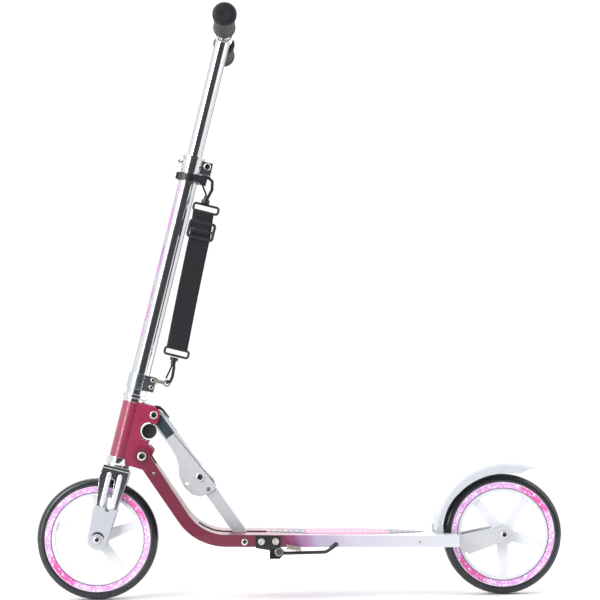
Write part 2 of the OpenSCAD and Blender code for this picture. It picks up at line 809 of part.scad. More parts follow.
module rear_rim() {
  color([0.94, 0.95, 0.96]) rim(rx, -88);
}

module hub(x) {
  translate([x, 0, wheel_r]) difference() {
    across(11, -13, 13);
    across(axle_r + run, -20, 20);
  }
}

module front_hub() {
  color([0.7, 0.71, 0.73]) hub(fx);
}

module rear_hub() {
  color([0.7, 0.71, 0.73]) hub(rx);
}

frame_spar();
deck();
grip_tape();
dropout_left();
dropout_right();
rear_axle();
fold_bolt();
strut_foot_bolts();
kick_bracket();
kick_bolts();
fender_pin();
head_tube();
cup_lower();
cup_upper();
strut_head_bolt();
fork_crown();
fork_leg_left();
fork_leg_right();
front_axle();
headset_nuts();
outer_tube();
lower_collar();
collar_bolts();
eyelet_tab();
height_clamp();
clamp_bolt();
strap_collar();
hook_upper();
gate_upper();
ring_upper();
slider();
webbing();
ring_lower();
hook_lower();
gate_lower();
stem_tube();
handlebar();
grip_left();
grip_right();
snap_button();
clamp_lever();
strut_upper();
strut_sleeve();
knee_bolt();
strut_lower();
detent_pin();
release_lever();
latch_pad();
kick_leg();
kick_spring();
kick_pivot();
fender();
front_tyre();
front_ring();
front_rim();
front_hub();
rear_tyre();
rear_ring();
rear_rim();
rear_hub();
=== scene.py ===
import math
import random

import bmesh
import bpy
from mathutils import Matrix, Vector


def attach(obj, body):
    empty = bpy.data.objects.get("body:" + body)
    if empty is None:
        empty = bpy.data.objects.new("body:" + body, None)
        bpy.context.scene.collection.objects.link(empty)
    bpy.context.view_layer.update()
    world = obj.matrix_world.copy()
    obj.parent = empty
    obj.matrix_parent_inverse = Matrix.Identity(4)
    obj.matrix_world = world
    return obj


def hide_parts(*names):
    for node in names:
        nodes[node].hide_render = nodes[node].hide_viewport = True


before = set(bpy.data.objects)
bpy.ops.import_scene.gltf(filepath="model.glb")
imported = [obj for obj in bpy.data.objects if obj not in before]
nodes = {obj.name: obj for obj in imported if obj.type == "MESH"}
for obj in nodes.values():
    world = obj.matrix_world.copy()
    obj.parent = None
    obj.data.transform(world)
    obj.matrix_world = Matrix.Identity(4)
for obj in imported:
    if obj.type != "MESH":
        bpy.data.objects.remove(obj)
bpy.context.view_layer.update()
mm = 0.001
random.seed(7)

# the steering axis, repeated from the part's own sizes
stem = {"rake": 14.0, "footX": -368.36, "barReach": 994.0}
wheels = {"frontX": -346.0, "rearX": 346.0, "radius": 102.5}
rakeSin = math.sin(math.radians(stem["rake"]))
rakeCos = math.cos(math.radians(stem["rake"]))


def stemPoint(t, y, s):  # a point given across, sideways and along the steering axis
    return Vector(((stem["footX"] + t * rakeCos + s * rakeSin) * mm, y * mm,
                   (-t * rakeSin + s * rakeCos) * mm))


def stemMatrix(t=0.0, y=0.0, s=0.0):
    turn = Matrix.Rotation(math.radians(stem["rake"]), 4, "Y")
    return Matrix.Translation(stemPoint(t, y, s)) @ turn


def newGroup(name, inputs, outputs):
    group = bpy.data.node_groups.new(name, "ShaderNodeTree")
    for label, kind, value in inputs:
        socket = group.interface.new_socket(name=label, in_out="INPUT", socket_type=kind)
        socket.default_value = value
    for label, kind in outputs:
        group.interface.new_socket(name=label, in_out="OUTPUT", socket_type=kind)
    tree = group.nodes
    return group, tree, group.links, tree.new("NodeGroupInput"), tree.new("NodeGroupOutput")


def mathNode(tree, links, kind, a, b=None, clamp=False):
    node = tree.new("ShaderNodeMath")
    node.operation = kind
    node.use_clamp = clamp
    for index, value in enumerate((a, b)):
        if value is None:
            continue
        if isinstance(value, (int, float)):
            node.inputs[index].default_value = value
        else:
            links.new(value, node.inputs[index])
    return node.outputs[0]


def makeHandling():  # soft smudges from hands and dust, and a fine grain for the bump
    group, tree, links, gin, gout = newGroup(
        "handlingMarks", [("Smudge Scale", "NodeSocketFloat", 14.0),
                          ("Grain Scale", "NodeSocketFloat", 900.0)],
        [("Smudge", "NodeSocketFloat"), ("Grain", "NodeSocketFloat")])
    coord = tree.new("ShaderNodeTexCoord")
    smudge = tree.new("ShaderNodeTexNoise")
    smudge.inputs["Detail"].default_value = 5.0
    smudge.inputs["Roughness"].default_value = 0.62
    grain = tree.new("ShaderNodeTexNoise")
    grain.inputs["Detail"].default_value = 2.0
    ramp = tree.new("ShaderNodeMapRange")
    ramp.inputs["From Min"].default_value = 0.36
    ramp.inputs["From Max"].default_value = 0.68
    links.new(coord.outputs["Object"], smudge.inputs["Vector"])
    links.new(coord.outputs["Object"], grain.inputs["Vector"])
    links.new(gin.outputs["Smudge Scale"], smudge.inputs["Scale"])
    links.new(gin.outputs["Grain Scale"], grain.inputs["Scale"])
    links.new(smudge.outputs["Fac"], ramp.inputs["Value"])
    links.new(ramp.outputs["Result"], gout.inputs["Smudge"])
    links.new(grain.outputs["Fac"], gout.inputs["Grain"])
    return group


def makeBrushing():  # long fine lines left by rolling or brushing, along one direction
    group, tree, links, gin, gout = newGroup(
        "brushLines", [("Stretch", "NodeSocketVector", (30.0, 600.0, 600.0)),
                       ("Turn", "NodeSocketFloat", 0.0)],
        [("Lines", "NodeSocketFloat")])
    coord = tree.new("ShaderNodeTexCoord")
    rotate = tree.new("ShaderNodeVectorRotate")
    rotate.rotation_type = "Y_AXIS"
    scale = tree.new("ShaderNodeVectorMath")
    scale.operation = "MULTIPLY"
    noise = tree.new("ShaderNodeTexNoise")
    noise.inputs["Scale"].default_value = 1.0
    noise.inputs["Detail"].default_value = 3.0
    links.new(coord.outputs["Object"], rotate.inputs["Vector"])
    links.new(gin.outputs["Turn"], rotate.inputs["Angle"])
    links.new(rotate.outputs[0], scale.inputs[0])
    links.new(gin.outputs["Stretch"], scale.inputs[1])
    links.new(scale.outputs[0], noise.inputs["Vector"])
    links.new(noise.outputs["Fac"], gout.inputs["Lines"])
    return group


def makeWeave():  # a twill of warp and weft threads
    group, tree, links, gin, gout = newGroup(
        "wovenTape", [("Threads", "NodeSocketFloat", 700.0)],
        [("Height", "NodeSocketFloat"), ("Thread", "NodeSocketFloat")])
    coord = tree.new("ShaderNodeTexCoord")
    rotate = tree.new("ShaderNodeVectorRotate")
    rotate.rotation_type = "Y_AXIS"
    rotate.inputs["Angle"].default_value = math.radians(-stem["rake"])
    split = tree.new("ShaderNodeSeparateXYZ")
    links.new(coord.outputs["Object"], rotate.inputs["Vector"])
    links.new(rotate.outputs[0], split.inputs[0])
    across = mathNode(tree, links, "MULTIPLY", split.outputs[0], gin.outputs["Threads"])
    along = mathNode(tree, links, "MULTIPLY", split.outputs[2], gin.outputs["Threads"])
    warp = mathNode(tree, links, "SINE", mathNode(tree, links, "MULTIPLY", across, 6.2832))
    weft = mathNode(tree, links, "SINE", mathNode(tree, links, "MULTIPLY", along, 6.2832))
    twill = mathNode(tree, links, "SINE", mathNode(
        tree, links, "MULTIPLY", mathNode(tree, links, "ADD", across, along), 3.1416))
    mixA = mathNode(tree, links, "MULTIPLY", mathNode(tree, links, "ADD", warp, 1.0), 0.5)
    mixB = mathNode(tree, links, "MULTIPLY", mathNode(tree, links, "ADD", weft, 1.0), 0.5)
    over = mathNode(tree, links, "GREATER_THAN", twill, 0.0)
    high = tree.new("ShaderNodeMix")
    links.new(over, high.inputs["Factor"])
    links.new(mixA, high.inputs["A"])
    links.new(mixB, high.inputs["B"])
    links.new(high.outputs["Result"], gout.inputs["Height"])
    links.new(over, gout.inputs["Thread"])
    return group


handling = makeHandling()
brushing = makeBrushing()
weave = makeWeave()
print("shader groups ready")


def principled(name, values):
    mat = bpy.data.materials.new(name)
    mat.use_nodes = True
    tree = mat.node_tree.nodes
    bsdf = tree["Principled BSDF"]
    for socket, value in values.items():
        bsdf.inputs[socket].default_value = value
    return mat, tree, mat.node_tree.links, bsdf


def groupNode(tree, group, values=()):
    node = tree.new("ShaderNodeGroup")
    node.node_tree = group
    for socket, value in dict(values).items():
        node.inputs[socket].default_value = value
    return node


def mixColour(tree, links, factor, a, b):
    node = tree.new("ShaderNodeMix")
    node.data_type = "RGBA"
    links.new(factor, node.inputs[0])
    for value, socket in ((a, node.inputs[6]), (b, node.inputs[7])):
        if isinstance(value, tuple):
            socket.default_value = (*value[:3], 1)
        else:
            links.new(value, socket)
    return node.outputs[2]


def rangeNode(tree, links, value, low, high, fromLow=0.0, fromHigh=1.0):
    node = tree.new("ShaderNodeMapRange")
    node.inputs["From Min"].default_value = fromLow
    node.inputs["From Max"].default_value = fromHigh
    node.inputs["To Min"].default_value = low
    node.inputs["To Max"].default_value = high
    links.new(value, node.inputs["Value"])
    return node.outputs["Result"]


def bumpFrom(tree, links, bsdf, height, strength, distance):
    bump = tree.new("ShaderNodeBump")
    bump.inputs["Strength"].default_value = strength
    bump.inputs["Distance"].default_value = distance
    links.new(height, bump.inputs["Height"])
    links.new(bump.outputs["Normal"], bsdf.inputs["Normal"])


def plainFinish(name, look):  # colour and gloss that vary with handling, and a grain in the bump
    mat, tree, links, bsdf = principled(name, {
        "Metallic": look.get("metallic", 0.0), **look.get("sockets", {})})
    marks = groupNode(tree, handling, {"Smudge Scale": look.get("smudge", 14.0),
                                       "Grain Scale": look.get("grain", 900.0)})
    base = look["colour"]
    shade = tuple(c * look.get("shade", 0.88) for c in base)
    links.new(mixColour(tree, links, marks.outputs["Smudge"], base, shade), bsdf.inputs["Base Color"])
    links.new(rangeNode(tree, links, marks.outputs["Smudge"], *look["rough"]), bsdf.inputs["Roughness"])
    height = marks.outputs["Grain"]
    if "lines" in look:
        brushed = groupNode(tree, brushing, {"Stretch": look["lines"], "Turn": look.get("turn", 0.0)})
        height = brushed.outputs["Lines"]
    bumpFrom(tree, links, bsdf, height, look.get("bump", 0.1), look.get("depth", 0.0002))
    return mat


looks = {
    "chrome": {"colour": (0.80, 0.81, 0.83), "metallic": 1.0, "rough": (0.10, 0.18), "bump": 0.03,
               "lines": (500.0, 500.0, 8.0), "turn": math.radians(-14)},
    "satinMetal": {"colour": (0.60, 0.61, 0.645), "metallic": 0.3, "rough": (0.38, 0.5), "bump": 0.10,
                   "lines": (20.0, 600.0, 600.0), "turn": math.radians(54)},
    "castMetal": {"colour": (0.66, 0.67, 0.70), "metallic": 0.35, "rough": (0.38, 0.5), "bump": 0.12,
                  "grain": 1400.0},
    "boltSteel": {"colour": (0.78, 0.76, 0.73), "metallic": 1.0, "rough": (0.2, 0.34), "bump": 0.06,
                  "grain": 1600.0},
    "shadowGrey": {"colour": (0.13, 0.135, 0.15), "rough": (0.5, 0.6), "bump": 0.05},
    # painted shade: near-black for the inside of bolt sockets and the fork pockets
    "socketDark": {"colour": (0.05, 0.05, 0.055), "metallic": 0.8, "rough": (0.4, 0.5), "bump": 0.05},
    "blackPlastic": {"colour": (0.018, 0.020, 0.023), "rough": (0.34, 0.5), "bump": 0.18, "grain": 1500.0,
                     "shade": 0.8},
    "blackPaint": {"colour": (0.012, 0.012, 0.014), "rough": (0.26, 0.4), "bump": 0.08,
                   "sockets": {"Coat Weight": 0.3}},
    "bluePaint": {"colour": (0.045, 0.064, 0.080), "rough": (0.34, 0.46), "bump": 0.08, "metallic": 0.25,
                  "sockets": {"Coat Weight": 0.25}},
    "collarMetal": {"colour": (0.66, 0.72, 0.77), "metallic": 1.0, "rough": (0.2, 0.28), "bump": 0.06},
    "dullSteel": {"colour": (0.36, 0.34, 0.31), "metallic": 0.6, "rough": (0.38, 0.5), "bump": 0.1},
    "padRubber": {"colour": (0.014, 0.016, 0.018), "rough": (0.55, 0.7), "bump": 0.25, "grain": 1200.0},
    "fenderPlastic": {"colour": (0.58, 0.60, 0.65), "rough": (0.32, 0.44), "bump": 0.06, "shade": 0.95,
                      "sockets": {"Coat Weight": 0.2, "Coat Roughness": 0.25}},
    # painted highlight: a pale satin colour that keeps the fork ribs bright like their chrome reflections
    "paleMetal": {"colour": (0.76, 0.78, 0.84), "metallic": 0.25, "rough": (0.22, 0.3), "bump": 0.05},
    "milkyPlastic": {"colour": (0.74, 0.755, 0.785), "rough": (0.32, 0.42), "bump": 0.05, "shade": 0.97,
                     "sockets": {"Subsurface Weight": 0.25, "Subsurface Radius": (0.006, 0.006, 0.007),
                                 "Subsurface Scale": 1.0}},
}
mats = {name: plainFinish(name, look) for name, look in looks.items()}


def axisValue(tree, axis, turn=0.0):  # a coordinate of the piece at rest, in metres
    coord = tree.new("ShaderNodeTexCoord")
    links = tree.id_data.links
    source = coord.outputs["Object"]
    if turn:
        rotate = tree.new("ShaderNodeVectorRotate")
        rotate.rotation_type = "Y_AXIS"
        rotate.inputs["Angle"].default_value = turn
        links.new(source, rotate.inputs["Vector"])
        source = rotate.outputs[0]
    split = tree.new("ShaderNodeSeparateXYZ")
    links.new(source, split.inputs[0])
    return split.outputs["XYZ".index(axis)]


def rampNode(tree, links, value, stops):
    ramp = tree.new("ShaderNodeValToRGB")
    ramp.color_ramp.interpolation = "EASE"
    points = ramp.color_ramp.elements
    while len(points) < len(stops):
        points.new(0.5)
    for element, (place, colour) in zip(points, stops):
        element.position = place
        element.color = (*colour, 1)
    links.new(value, ramp.inputs["Fac"])
    return ramp.outputs["Color"]


frameFade = {"from": -0.30, "to": 0.30, "lean": 0.35, "coat": 0.2, "stops": [
    (0.00, (0.16, 0.022, 0.045)), (0.40, (0.15, 0.020, 0.043)), (0.44, (0.19, 0.03, 0.07)),
    (0.47, (0.24, 0.055, 0.15)), (0.50, (0.33, 0.17, 0.33)), (0.55, (0.43, 0.37, 0.50)),
    (0.66, (0.55, 0.53, 0.62)), (0.82, (0.61, 0.615, 0.66)), (1.0, (0.63, 0.64, 0.685))]}
# painted shade: the head tube's burgundy is darker at its front and lighter at its back
headShadeRamp = {"from": -0.33, "to": -0.235, "lean": 0.0, "coat": 0.8, "stops": [
    (0.00, (0.25, 0.028, 0.070)), (0.45, (0.29, 0.024, 0.072)), (1.0, (0.33, 0.020, 0.070))]}


def fadingPaint(name, fade):  # burgundy at the head, violet at the seam and silver behind it
    mat, tree, links, bsdf = principled(name, {"Coat Weight": fade["coat"], "Coat Roughness": 0.14})
    slant = mathNode(tree, links, "ADD", axisValue(tree, "X"), mathNode(
        tree, links, "MULTIPLY", axisValue(tree, "Z"), fade["lean"]))
    shift = fade["lean"] * wheels["radius"] * mm
    place = rangeNode(tree, links, slant, 0.0, 1.0, fade["from"] + shift, fade["to"] + shift)
    colour = rampNode(tree, links, place, fade["stops"])
    marks = groupNode(tree, handling, {"Smudge Scale": 11.0, "Grain Scale": 2600.0})
    dusk = tree.new("ShaderNodeMix")
    dusk.data_type = "RGBA"
    dusk.blend_type = "MULTIPLY"
    links.new(rangeNode(tree, links, marks.outputs["Smudge"], 0.0, 0.16), dusk.inputs[0])
    links.new(colour, dusk.inputs[6])
    dusk.inputs[7].default_value = (0.82, 0.8, 0.82, 1)
    links.new(dusk.outputs[2], bsdf.inputs["Base Color"])
    links.new(rangeNode(tree, links, marks.outputs["Smudge"], 0.30, 0.42), bsdf.inputs["Roughness"])
    bumpFrom(tree, links, bsdf, marks.outputs["Grain"], 0.05, 0.0002)
    return mat


forkLook = {"step": 160.0, "ribFrom": 160.0, "ribTo": 221.0, "ribWide": 8.2, "ribHigh": 2.4}


def forkMetal():  # polished above the step and satin below it
    mat, tree, links, bsdf = principled("forkMetal", {})
    height = axisValue(tree, "Z", math.radians(-stem["rake"]))
    low = forkLook["step"] * mm + stem["footX"] * mm * rakeSin
    step = rangeNode(tree, links, height, 0.0, 1.0, low - 0.002, low + 0.002)
    marks = groupNode(tree, handling, {"Smudge Scale": 25.0, "Grain Scale": 1400.0})
    links.new(mixColour(tree, links, step, (0.50, 0.525, 0.565), (0.74, 0.76, 0.79)),
              bsdf.inputs["Base Color"])
    rough = rangeNode(tree, links, step, 0.45, 0.14)
    links.new(rangeNode(tree, links, step, 0.35, 1.0), bsdf.inputs["Metallic"])
    links.new(mathNode(tree, links, "ADD", rough, mathNode(
        tree, links, "MULTIPLY", marks.outputs["Smudge"], 0.05)), bsdf.inputs["Roughness"])
    bumpFrom(tree, links, bsdf, marks.outputs["Grain"], 0.05, 0.0002)
    return mat


def tyreRubber():
    mat, tree, links, bsdf = principled("tyreRubber", {"Specular IOR Level": 0.5})
    marks = groupNode(tree, handling, {"Smudge Scale": 20.0, "Grain Scale": 1800.0})
    links.new(mixColour(tree, links, marks.outputs["Smudge"], (0.012, 0.014, 0.017), (0.020, 0.022, 0.026)),
              bsdf.inputs["Base Color"])
    links.new(rangeNode(tree, links, marks.outputs["Smudge"], 0.22, 0.32), bsdf.inputs["Roughness"])
    bumpFrom(tree, links, bsdf, marks.outputs["Grain"], 0.06, 0.0002)
    return mat


def gripRubber():
    mat, tree, links, bsdf = principled("gripRubber", {"Specular IOR Level": 0.3})
    marks = groupNode(tree, handling, {"Smudge Scale": 30.0, "Grain Scale": 2200.0})
    links.new(mixColour(tree, links, marks.outputs["Smudge"], (0.012, 0.014, 0.017), (0.018, 0.020, 0.024)),
              bsdf.inputs["Base Color"])
    links.new(rangeNode(tree, links, marks.outputs["Smudge"], 0.5, 0.66), bsdf.inputs["Roughness"])
    bumpFrom(tree, links, bsdf, marks.outputs["Grain"], 0.3, 0.0003)
    return mat


ringPrint = {"pale": (0.80, 0.47, 0.84), "mid": (0.69, 0.27, 0.66), "white": (0.93, 0.80, 0.95),
             "hot": (0.74, 0.11, 0.37), "line": (0.16, 0.05, 0.16), "tiles": 92.0, "rows": 190.0}


def printedRing(name, hubX, hotAt):  # a band of pink tiles with two hot patches and a dark inner line
    mat, tree, links, bsdf = principled(name, {"Coat Weight": 0.4, "Coat Roughness": 0.15})
    coord = tree.new("ShaderNodeTexCoord")
    shift = tree.new("ShaderNodeVectorMath")
    shift.operation = "SUBTRACT"
    shift.inputs[1].default_value = (hubX * mm, 0, wheels["radius"] * mm)
    split = tree.new("ShaderNodeSeparateXYZ")
    links.new(coord.outputs["Object"], shift.inputs[0])
    links.new(shift.outputs[0], split.inputs[0])
    angle = mathNode(tree, links, "ARCTAN2", split.outputs[2], split.outputs[0])
    radius = mathNode(tree, links, "SQRT", mathNode(
        tree, links, "ADD", mathNode(tree, links, "MULTIPLY", split.outputs[0], split.outputs[0]),
        mathNode(tree, links, "MULTIPLY", split.outputs[2], split.outputs[2])))
    around = mathNode(tree, links, "MULTIPLY", angle, ringPrint["tiles"] / math.tau)
    outward = mathNode(tree, links, "MULTIPLY", radius, ringPrint["rows"])
    flat = tree.new("ShaderNodeCombineXYZ")
    links.new(around, flat.inputs[0])
    links.new(outward, flat.inputs[1])
    tiles = tree.new("ShaderNodeTexVoronoi")
    tiles.voronoi_dimensions = "2D"
    tiles.distance = "CHEBYCHEV"
    tiles.inputs["Scale"].default_value = 2.1
    tiles.inputs["Randomness"].default_value = 0.62
    links.new(flat.outputs[0], tiles.inputs["Vector"])
    tone = tree.new("ShaderNodeSeparateColor")
    links.new(tiles.outputs["Color"], tone.inputs[0])
    base = mixColour(tree, links, tone.outputs[0], ringPrint["mid"], ringPrint["pale"])
    light = mathNode(tree, links, "GREATER_THAN", tone.outputs[1], 0.74)
    base = mixColour(tree, links, light, base, ringPrint["white"])
    twice = mathNode(tree, links, "COSINE", mathNode(tree, links, "SUBTRACT", mathNode(
        tree, links, "MULTIPLY", angle, 2.0), 2.0 * math.radians(hotAt)))
    patch = rangeNode(tree, links, twice, 0.0, 1.0, 0.72, 0.78)
    keep = mathNode(tree, links, "GREATER_THAN", tone.outputs[2], 0.30)
    patch = mathNode(tree, links, "MULTIPLY", patch, keep)
    base = mixColour(tree, links, patch, base, ringPrint["hot"])
    line = rangeNode(tree, links, radius, 1.0, 0.0, 0.0790, 0.0797)
    base = mixColour(tree, links, line, base, ringPrint["line"])
    # painted highlight: a white band along the ring's rounded outer edge
    edge = rangeNode(tree, links, radius, 0.0, 1.0, 0.0880, 0.0886)
    base = mixColour(tree, links, edge, base, ringPrint["white"])
    links.new(base, bsdf.inputs["Base Color"])
    links.new(rangeNode(tree, links, tone.outputs[0], 0.30, 0.40), bsdf.inputs["Roughness"])
    bumpFrom(tree, links, bsdf, tone.outputs[0], 0.05, 0.0002)
    return mat


def strapWeb():
    mat, tree, links, bsdf = principled("strapWeb", {"Sheen Weight": 0.08, "Sheen Roughness": 0.5,
                                                     "Specular IOR Level": 0.25})
    cloth = groupNode(tree, weave, {"Threads": 620.0})
    marks = groupNode(tree, handling, {"Smudge Scale": 22.0, "Grain Scale": 900.0})
    thread = mixColour(tree, links, cloth.outputs["Thread"], (0.007, 0.008, 0.010), (0.015, 0.017, 0.020))
    links.new(mixColour(tree, links, rangeNode(tree, links, marks.outputs["Smudge"], 0.0, 0.35), thread,
                        (0.020, 0.023, 0.027)), bsdf.inputs["Base Color"])
    links.new(rangeNode(tree, links, marks.outputs["Smudge"], 0.72, 0.88), bsdf.inputs["Roughness"])
    bumpFrom(tree, links, bsdf, cloth.outputs["Height"], 0.7, 0.0004)
    return mat


tapePrint = {"grey": (0.26, 0.265, 0.30), "pink": (0.74, 0.34, 0.47), "mark": (0.93, 0.88, 0.9),
             "pinkFrom": 0.0085, "pinkTo": 0.147}


def gripTape():  # gritty sheet, grey at both ends and pink between, with a broken pale line
    mat, tree, links, bsdf = principled("gripTape", {})
    along = axisValue(tree, "X")
    across = axisValue(tree, "Y")
    left = rangeNode(tree, links, along, 0.0, 1.0, tapePrint["pinkFrom"] - 0.004,
                     tapePrint["pinkFrom"] + 0.004)
    right = rangeNode(tree, links, along, 1.0, 0.0, tapePrint["pinkTo"] - 0.004, tapePrint["pinkTo"] + 0.004)
    base = mixColour(tree, links, mathNode(tree, links, "MULTIPLY", left, right),
                     tapePrint["grey"], tapePrint["pink"])
    wide = mathNode(tree, links, "ABSOLUTE", across)
    dash = mathNode(tree, links, "SINE", mathNode(tree, links, "MULTIPLY", along, 640.0))
    band = rangeNode(tree, links, wide, 0.55, 0.0, 0.0055, 0.0065)
    dashes = mathNode(tree, links, "MULTIPLY", band, mathNode(tree, links, "GREATER_THAN", dash, -0.1))
    base = mixColour(tree, links, dashes, base, tapePrint["mark"])
    grit = tree.new("ShaderNodeTexNoise")
    grit.inputs["Scale"].default_value = 1500.0
    grit.inputs["Detail"].default_value = 3.0
    coord = tree.new("ShaderNodeTexCoord")
    links.new(coord.outputs["Object"], grit.inputs["Vector"])
    speck = rangeNode(tree, links, grit.outputs["Fac"], 0.0, 0.45, 0.45, 0.75)
    links.new(mixColour(tree, links, speck, base, (0.9, 0.88, 0.9)), bsdf.inputs["Base Color"])
    links.new(rangeNode(tree, links, grit.outputs["Fac"], 0.7, 0.9), bsdf.inputs["Roughness"])
    bumpFrom(tree, links, bsdf, grit.outputs["Fac"], 0.8, 0.0006)
    return mat


def edgeShadeTone(tree, links, metal, dim):  # painted shade: a polished tube is painted grey where it turns away from the view
    weight = tree.new("ShaderNodeLayerWeight")
    weight.inputs["Blend"].default_value = 0.5
    turned = rangeNode(tree, links, weight.outputs["Facing"], 0.0, 1.0, 0.50, 0.62)
    return mixColour(tree, links, turned, metal, dim), turned


def polishedTube():
    mat, tree, links, bsdf = principled("polishedTube", {"Metallic": 1.0})
    marks = groupNode(tree, handling, {"Smudge Scale": 16.0, "Grain Scale": 1400.0})
    metal = mixColour(tree, links, marks.outputs["Smudge"], (0.82, 0.83, 0.85), (0.76, 0.77, 0.79))
    # painted shade: grey where the tube turns away from the view
    metal, turned = edgeShadeTone(tree, links, metal, (0.30, 0.31, 0.34))
    links.new(metal, bsdf.inputs["Base Color"])
    links.new(rangeNode(tree, links, turned, 1.0, 0.35), bsdf.inputs["Metallic"])
    rough = rangeNode(tree, links, marks.outputs["Smudge"], 0.08, 0.15)
    links.new(mathNode(tree, links, "ADD", rough, mathNode(tree, links, "MULTIPLY", turned, 0.3)),
              bsdf.inputs["Roughness"])
    bumpFrom(tree, links, bsdf, marks.outputs["Grain"], 0.03, 0.0002)
    return mat


decal = {"low": 455.0, "high": 725.0, "pink": (0.60, 0.20, 0.50), "violet": (0.34, 0.16, 0.42)}


def tubeChrome():  # polished tube with broken pink marks down its front
    mat, tree, links, bsdf = principled("tubeChrome", {})
    turn = math.radians(-stem["rake"])
    t = axisValue(tree, "X", turn)
    s = axisValue(tree, "Z", turn)
    y = axisValue(tree, "Y")
    centre = (stem["footX"] * mm * rakeCos)
    front = mathNode(tree, links, "SUBTRACT", t, centre)
    lean = mathNode(tree, links, "ARCTAN2", mathNode(tree, links, "ABSOLUTE", y),
                    mathNode(tree, links, "MULTIPLY", front, -1.0))
    wrap = rangeNode(tree, links, lean, 1.0, 0.0, 0.74, 0.78)
    base0 = stem["footX"] * mm * rakeSin
    up = mathNode(tree, links, "SUBTRACT", s, base0)
    low = rangeNode(tree, links, up, 0.0, 1.0, decal["low"] * mm, decal["low"] * mm + 0.002)
    high = rangeNode(tree, links, up, 1.0, 0.0, decal["high"] * mm - 0.002, decal["high"] * mm)
    flat = tree.new("ShaderNodeCombineXYZ")
    links.new(mathNode(tree, links, "MULTIPLY", lean, 3.0), flat.inputs[0])
    links.new(mathNode(tree, links, "MULTIPLY", up, 62.0), flat.inputs[1])
    cells = tree.new("ShaderNodeTexVoronoi")
    cells.voronoi_dimensions = "2D"
    cells.distance = "MANHATTAN"
    cells.inputs["Scale"].default_value = 1.0
    links.new(flat.outputs[0], cells.inputs["Vector"])
    tone = tree.new("ShaderNodeSeparateColor")
    links.new(cells.outputs["Color"], tone.inputs[0])
    some = mathNode(tree, links, "GREATER_THAN", tone.outputs[0], 0.55)
    mask = mathNode(tree, links, "MULTIPLY", mathNode(tree, links, "MULTIPLY", wrap, some),
                    mathNode(tree, links, "MULTIPLY", low, high))
    ink = mixColour(tree, links, tone.outputs[1], decal["pink"], decal["violet"])
    marks = groupNode(tree, handling, {"Smudge Scale": 16.0, "Grain Scale": 1400.0})
    metal = mixColour(tree, links, marks.outputs["Smudge"], (0.80, 0.81, 0.83), (0.74, 0.75, 0.77))
    # painted shade: grey where the tube turns away from the view
    metal, turned = edgeShadeTone(tree, links, metal, (0.30, 0.31, 0.34))
    links.new(mixColour(tree, links, mask, metal, ink), bsdf.inputs["Base Color"])
    links.new(mathNode(tree, links, "MULTIPLY", mathNode(tree, links, "SUBTRACT", 1.0, mask),
                       rangeNode(tree, links, turned, 1.0, 0.35)), bsdf.inputs["Metallic"])
    rough = rangeNode(tree, links, marks.outputs["Smudge"], 0.09, 0.16)
    rough = mathNode(tree, links, "ADD", rough, mathNode(tree, links, "MULTIPLY", turned, 0.3))
    links.new(mathNode(tree, links, "ADD", rough, mathNode(tree, links, "MULTIPLY", mask, 0.2)),
              bsdf.inputs["Roughness"])
    bumpFrom(tree, links, bsdf, marks.outputs["Grain"], 0.03, 0.0002)
    return mat


mats["framePaint"] = fadingPaint("framePaint", frameFade)
mats["headPaint"] = fadingPaint("headPaint", headShadeRamp)
mats["forkMetal"] = forkMetal()
mats["tyreRubber"] = tyreRubber()
mats["gripRubber"] = gripRubber()
mats["strapWeb"] = strapWeb()
mats["gripTape"] = gripTape()
mats["tubeChrome"] = tubeChrome()
mats["polishedTube"] = polishedTube()
mats["frontRing"] = printedRing("frontRing", wheels["frontX"], 42.0)
mats["rearRing"] = printedRing("rearRing", wheels["rearX"], 47.0)
print("materials ready:", len(mats))


def place(obj, body, slotName=None, replaced=(), matName=None, smooth=True):
    if matName:
        obj.data.materials.clear()
        obj.data.materials.append(mats[matName])
    if smooth:
        obj.data.polygons.foreach_set("use_smooth", [True] * len(obj.data.polygons))
    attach(obj, body)
    if replaced:
        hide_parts(*replaced)
    return obj


def meshObject(name, bm):
    mesh = bpy.data.meshes.new(name)
    bmesh.ops.recalc_face_normals(bm, faces=bm.faces)
    bm.to_mesh(mesh)
    bm.free()
    obj = bpy.data.objects.new(name, mesh)
    bpy.context.scene.collection.objects.link(obj)
    return obj


def ringStack(name, rings, matrix, closed=False, capped=True):  # rings of equal count, joined in order
    bm = bmesh.new()
    rows = [[bm.verts.new(matrix @ Vector(p)) for p in ring] for ring in rings]
    count = len(rows[0])
    pairs = list(zip(rows, rows[1:])) + ([(rows[-1], rows[0])] if closed else [])
    for low, high in pairs:
        for i in range(count):
            bm.faces.new((low[i], low[(i + 1) % count], high[(i + 1) % count], high[i]))
    if capped and not closed:
        bm.faces.new(rows[0][::-1])
        bm.faces.new(rows[-1])
    return meshObject(name, bm)


def lathe(name, profile, matrix, steps=96, closed=True):  # profile rows of radius and height, turned about Z
    rings = [[(r * mm * math.cos(math.tau * i / steps), r * mm * math.sin(math.tau * i / steps), z * mm)
              for i in range(steps)] for r, z in profile]
    return ringStack(name, rings, matrix, closed=closed)


def crossMatrix(x, z, y=0.0):  # turns a lathe's Z onto the axle direction, world -Y
    return Matrix.Translation((x * mm, y * mm, z * mm)) @ Matrix.Rotation(math.radians(90), 4, "X")


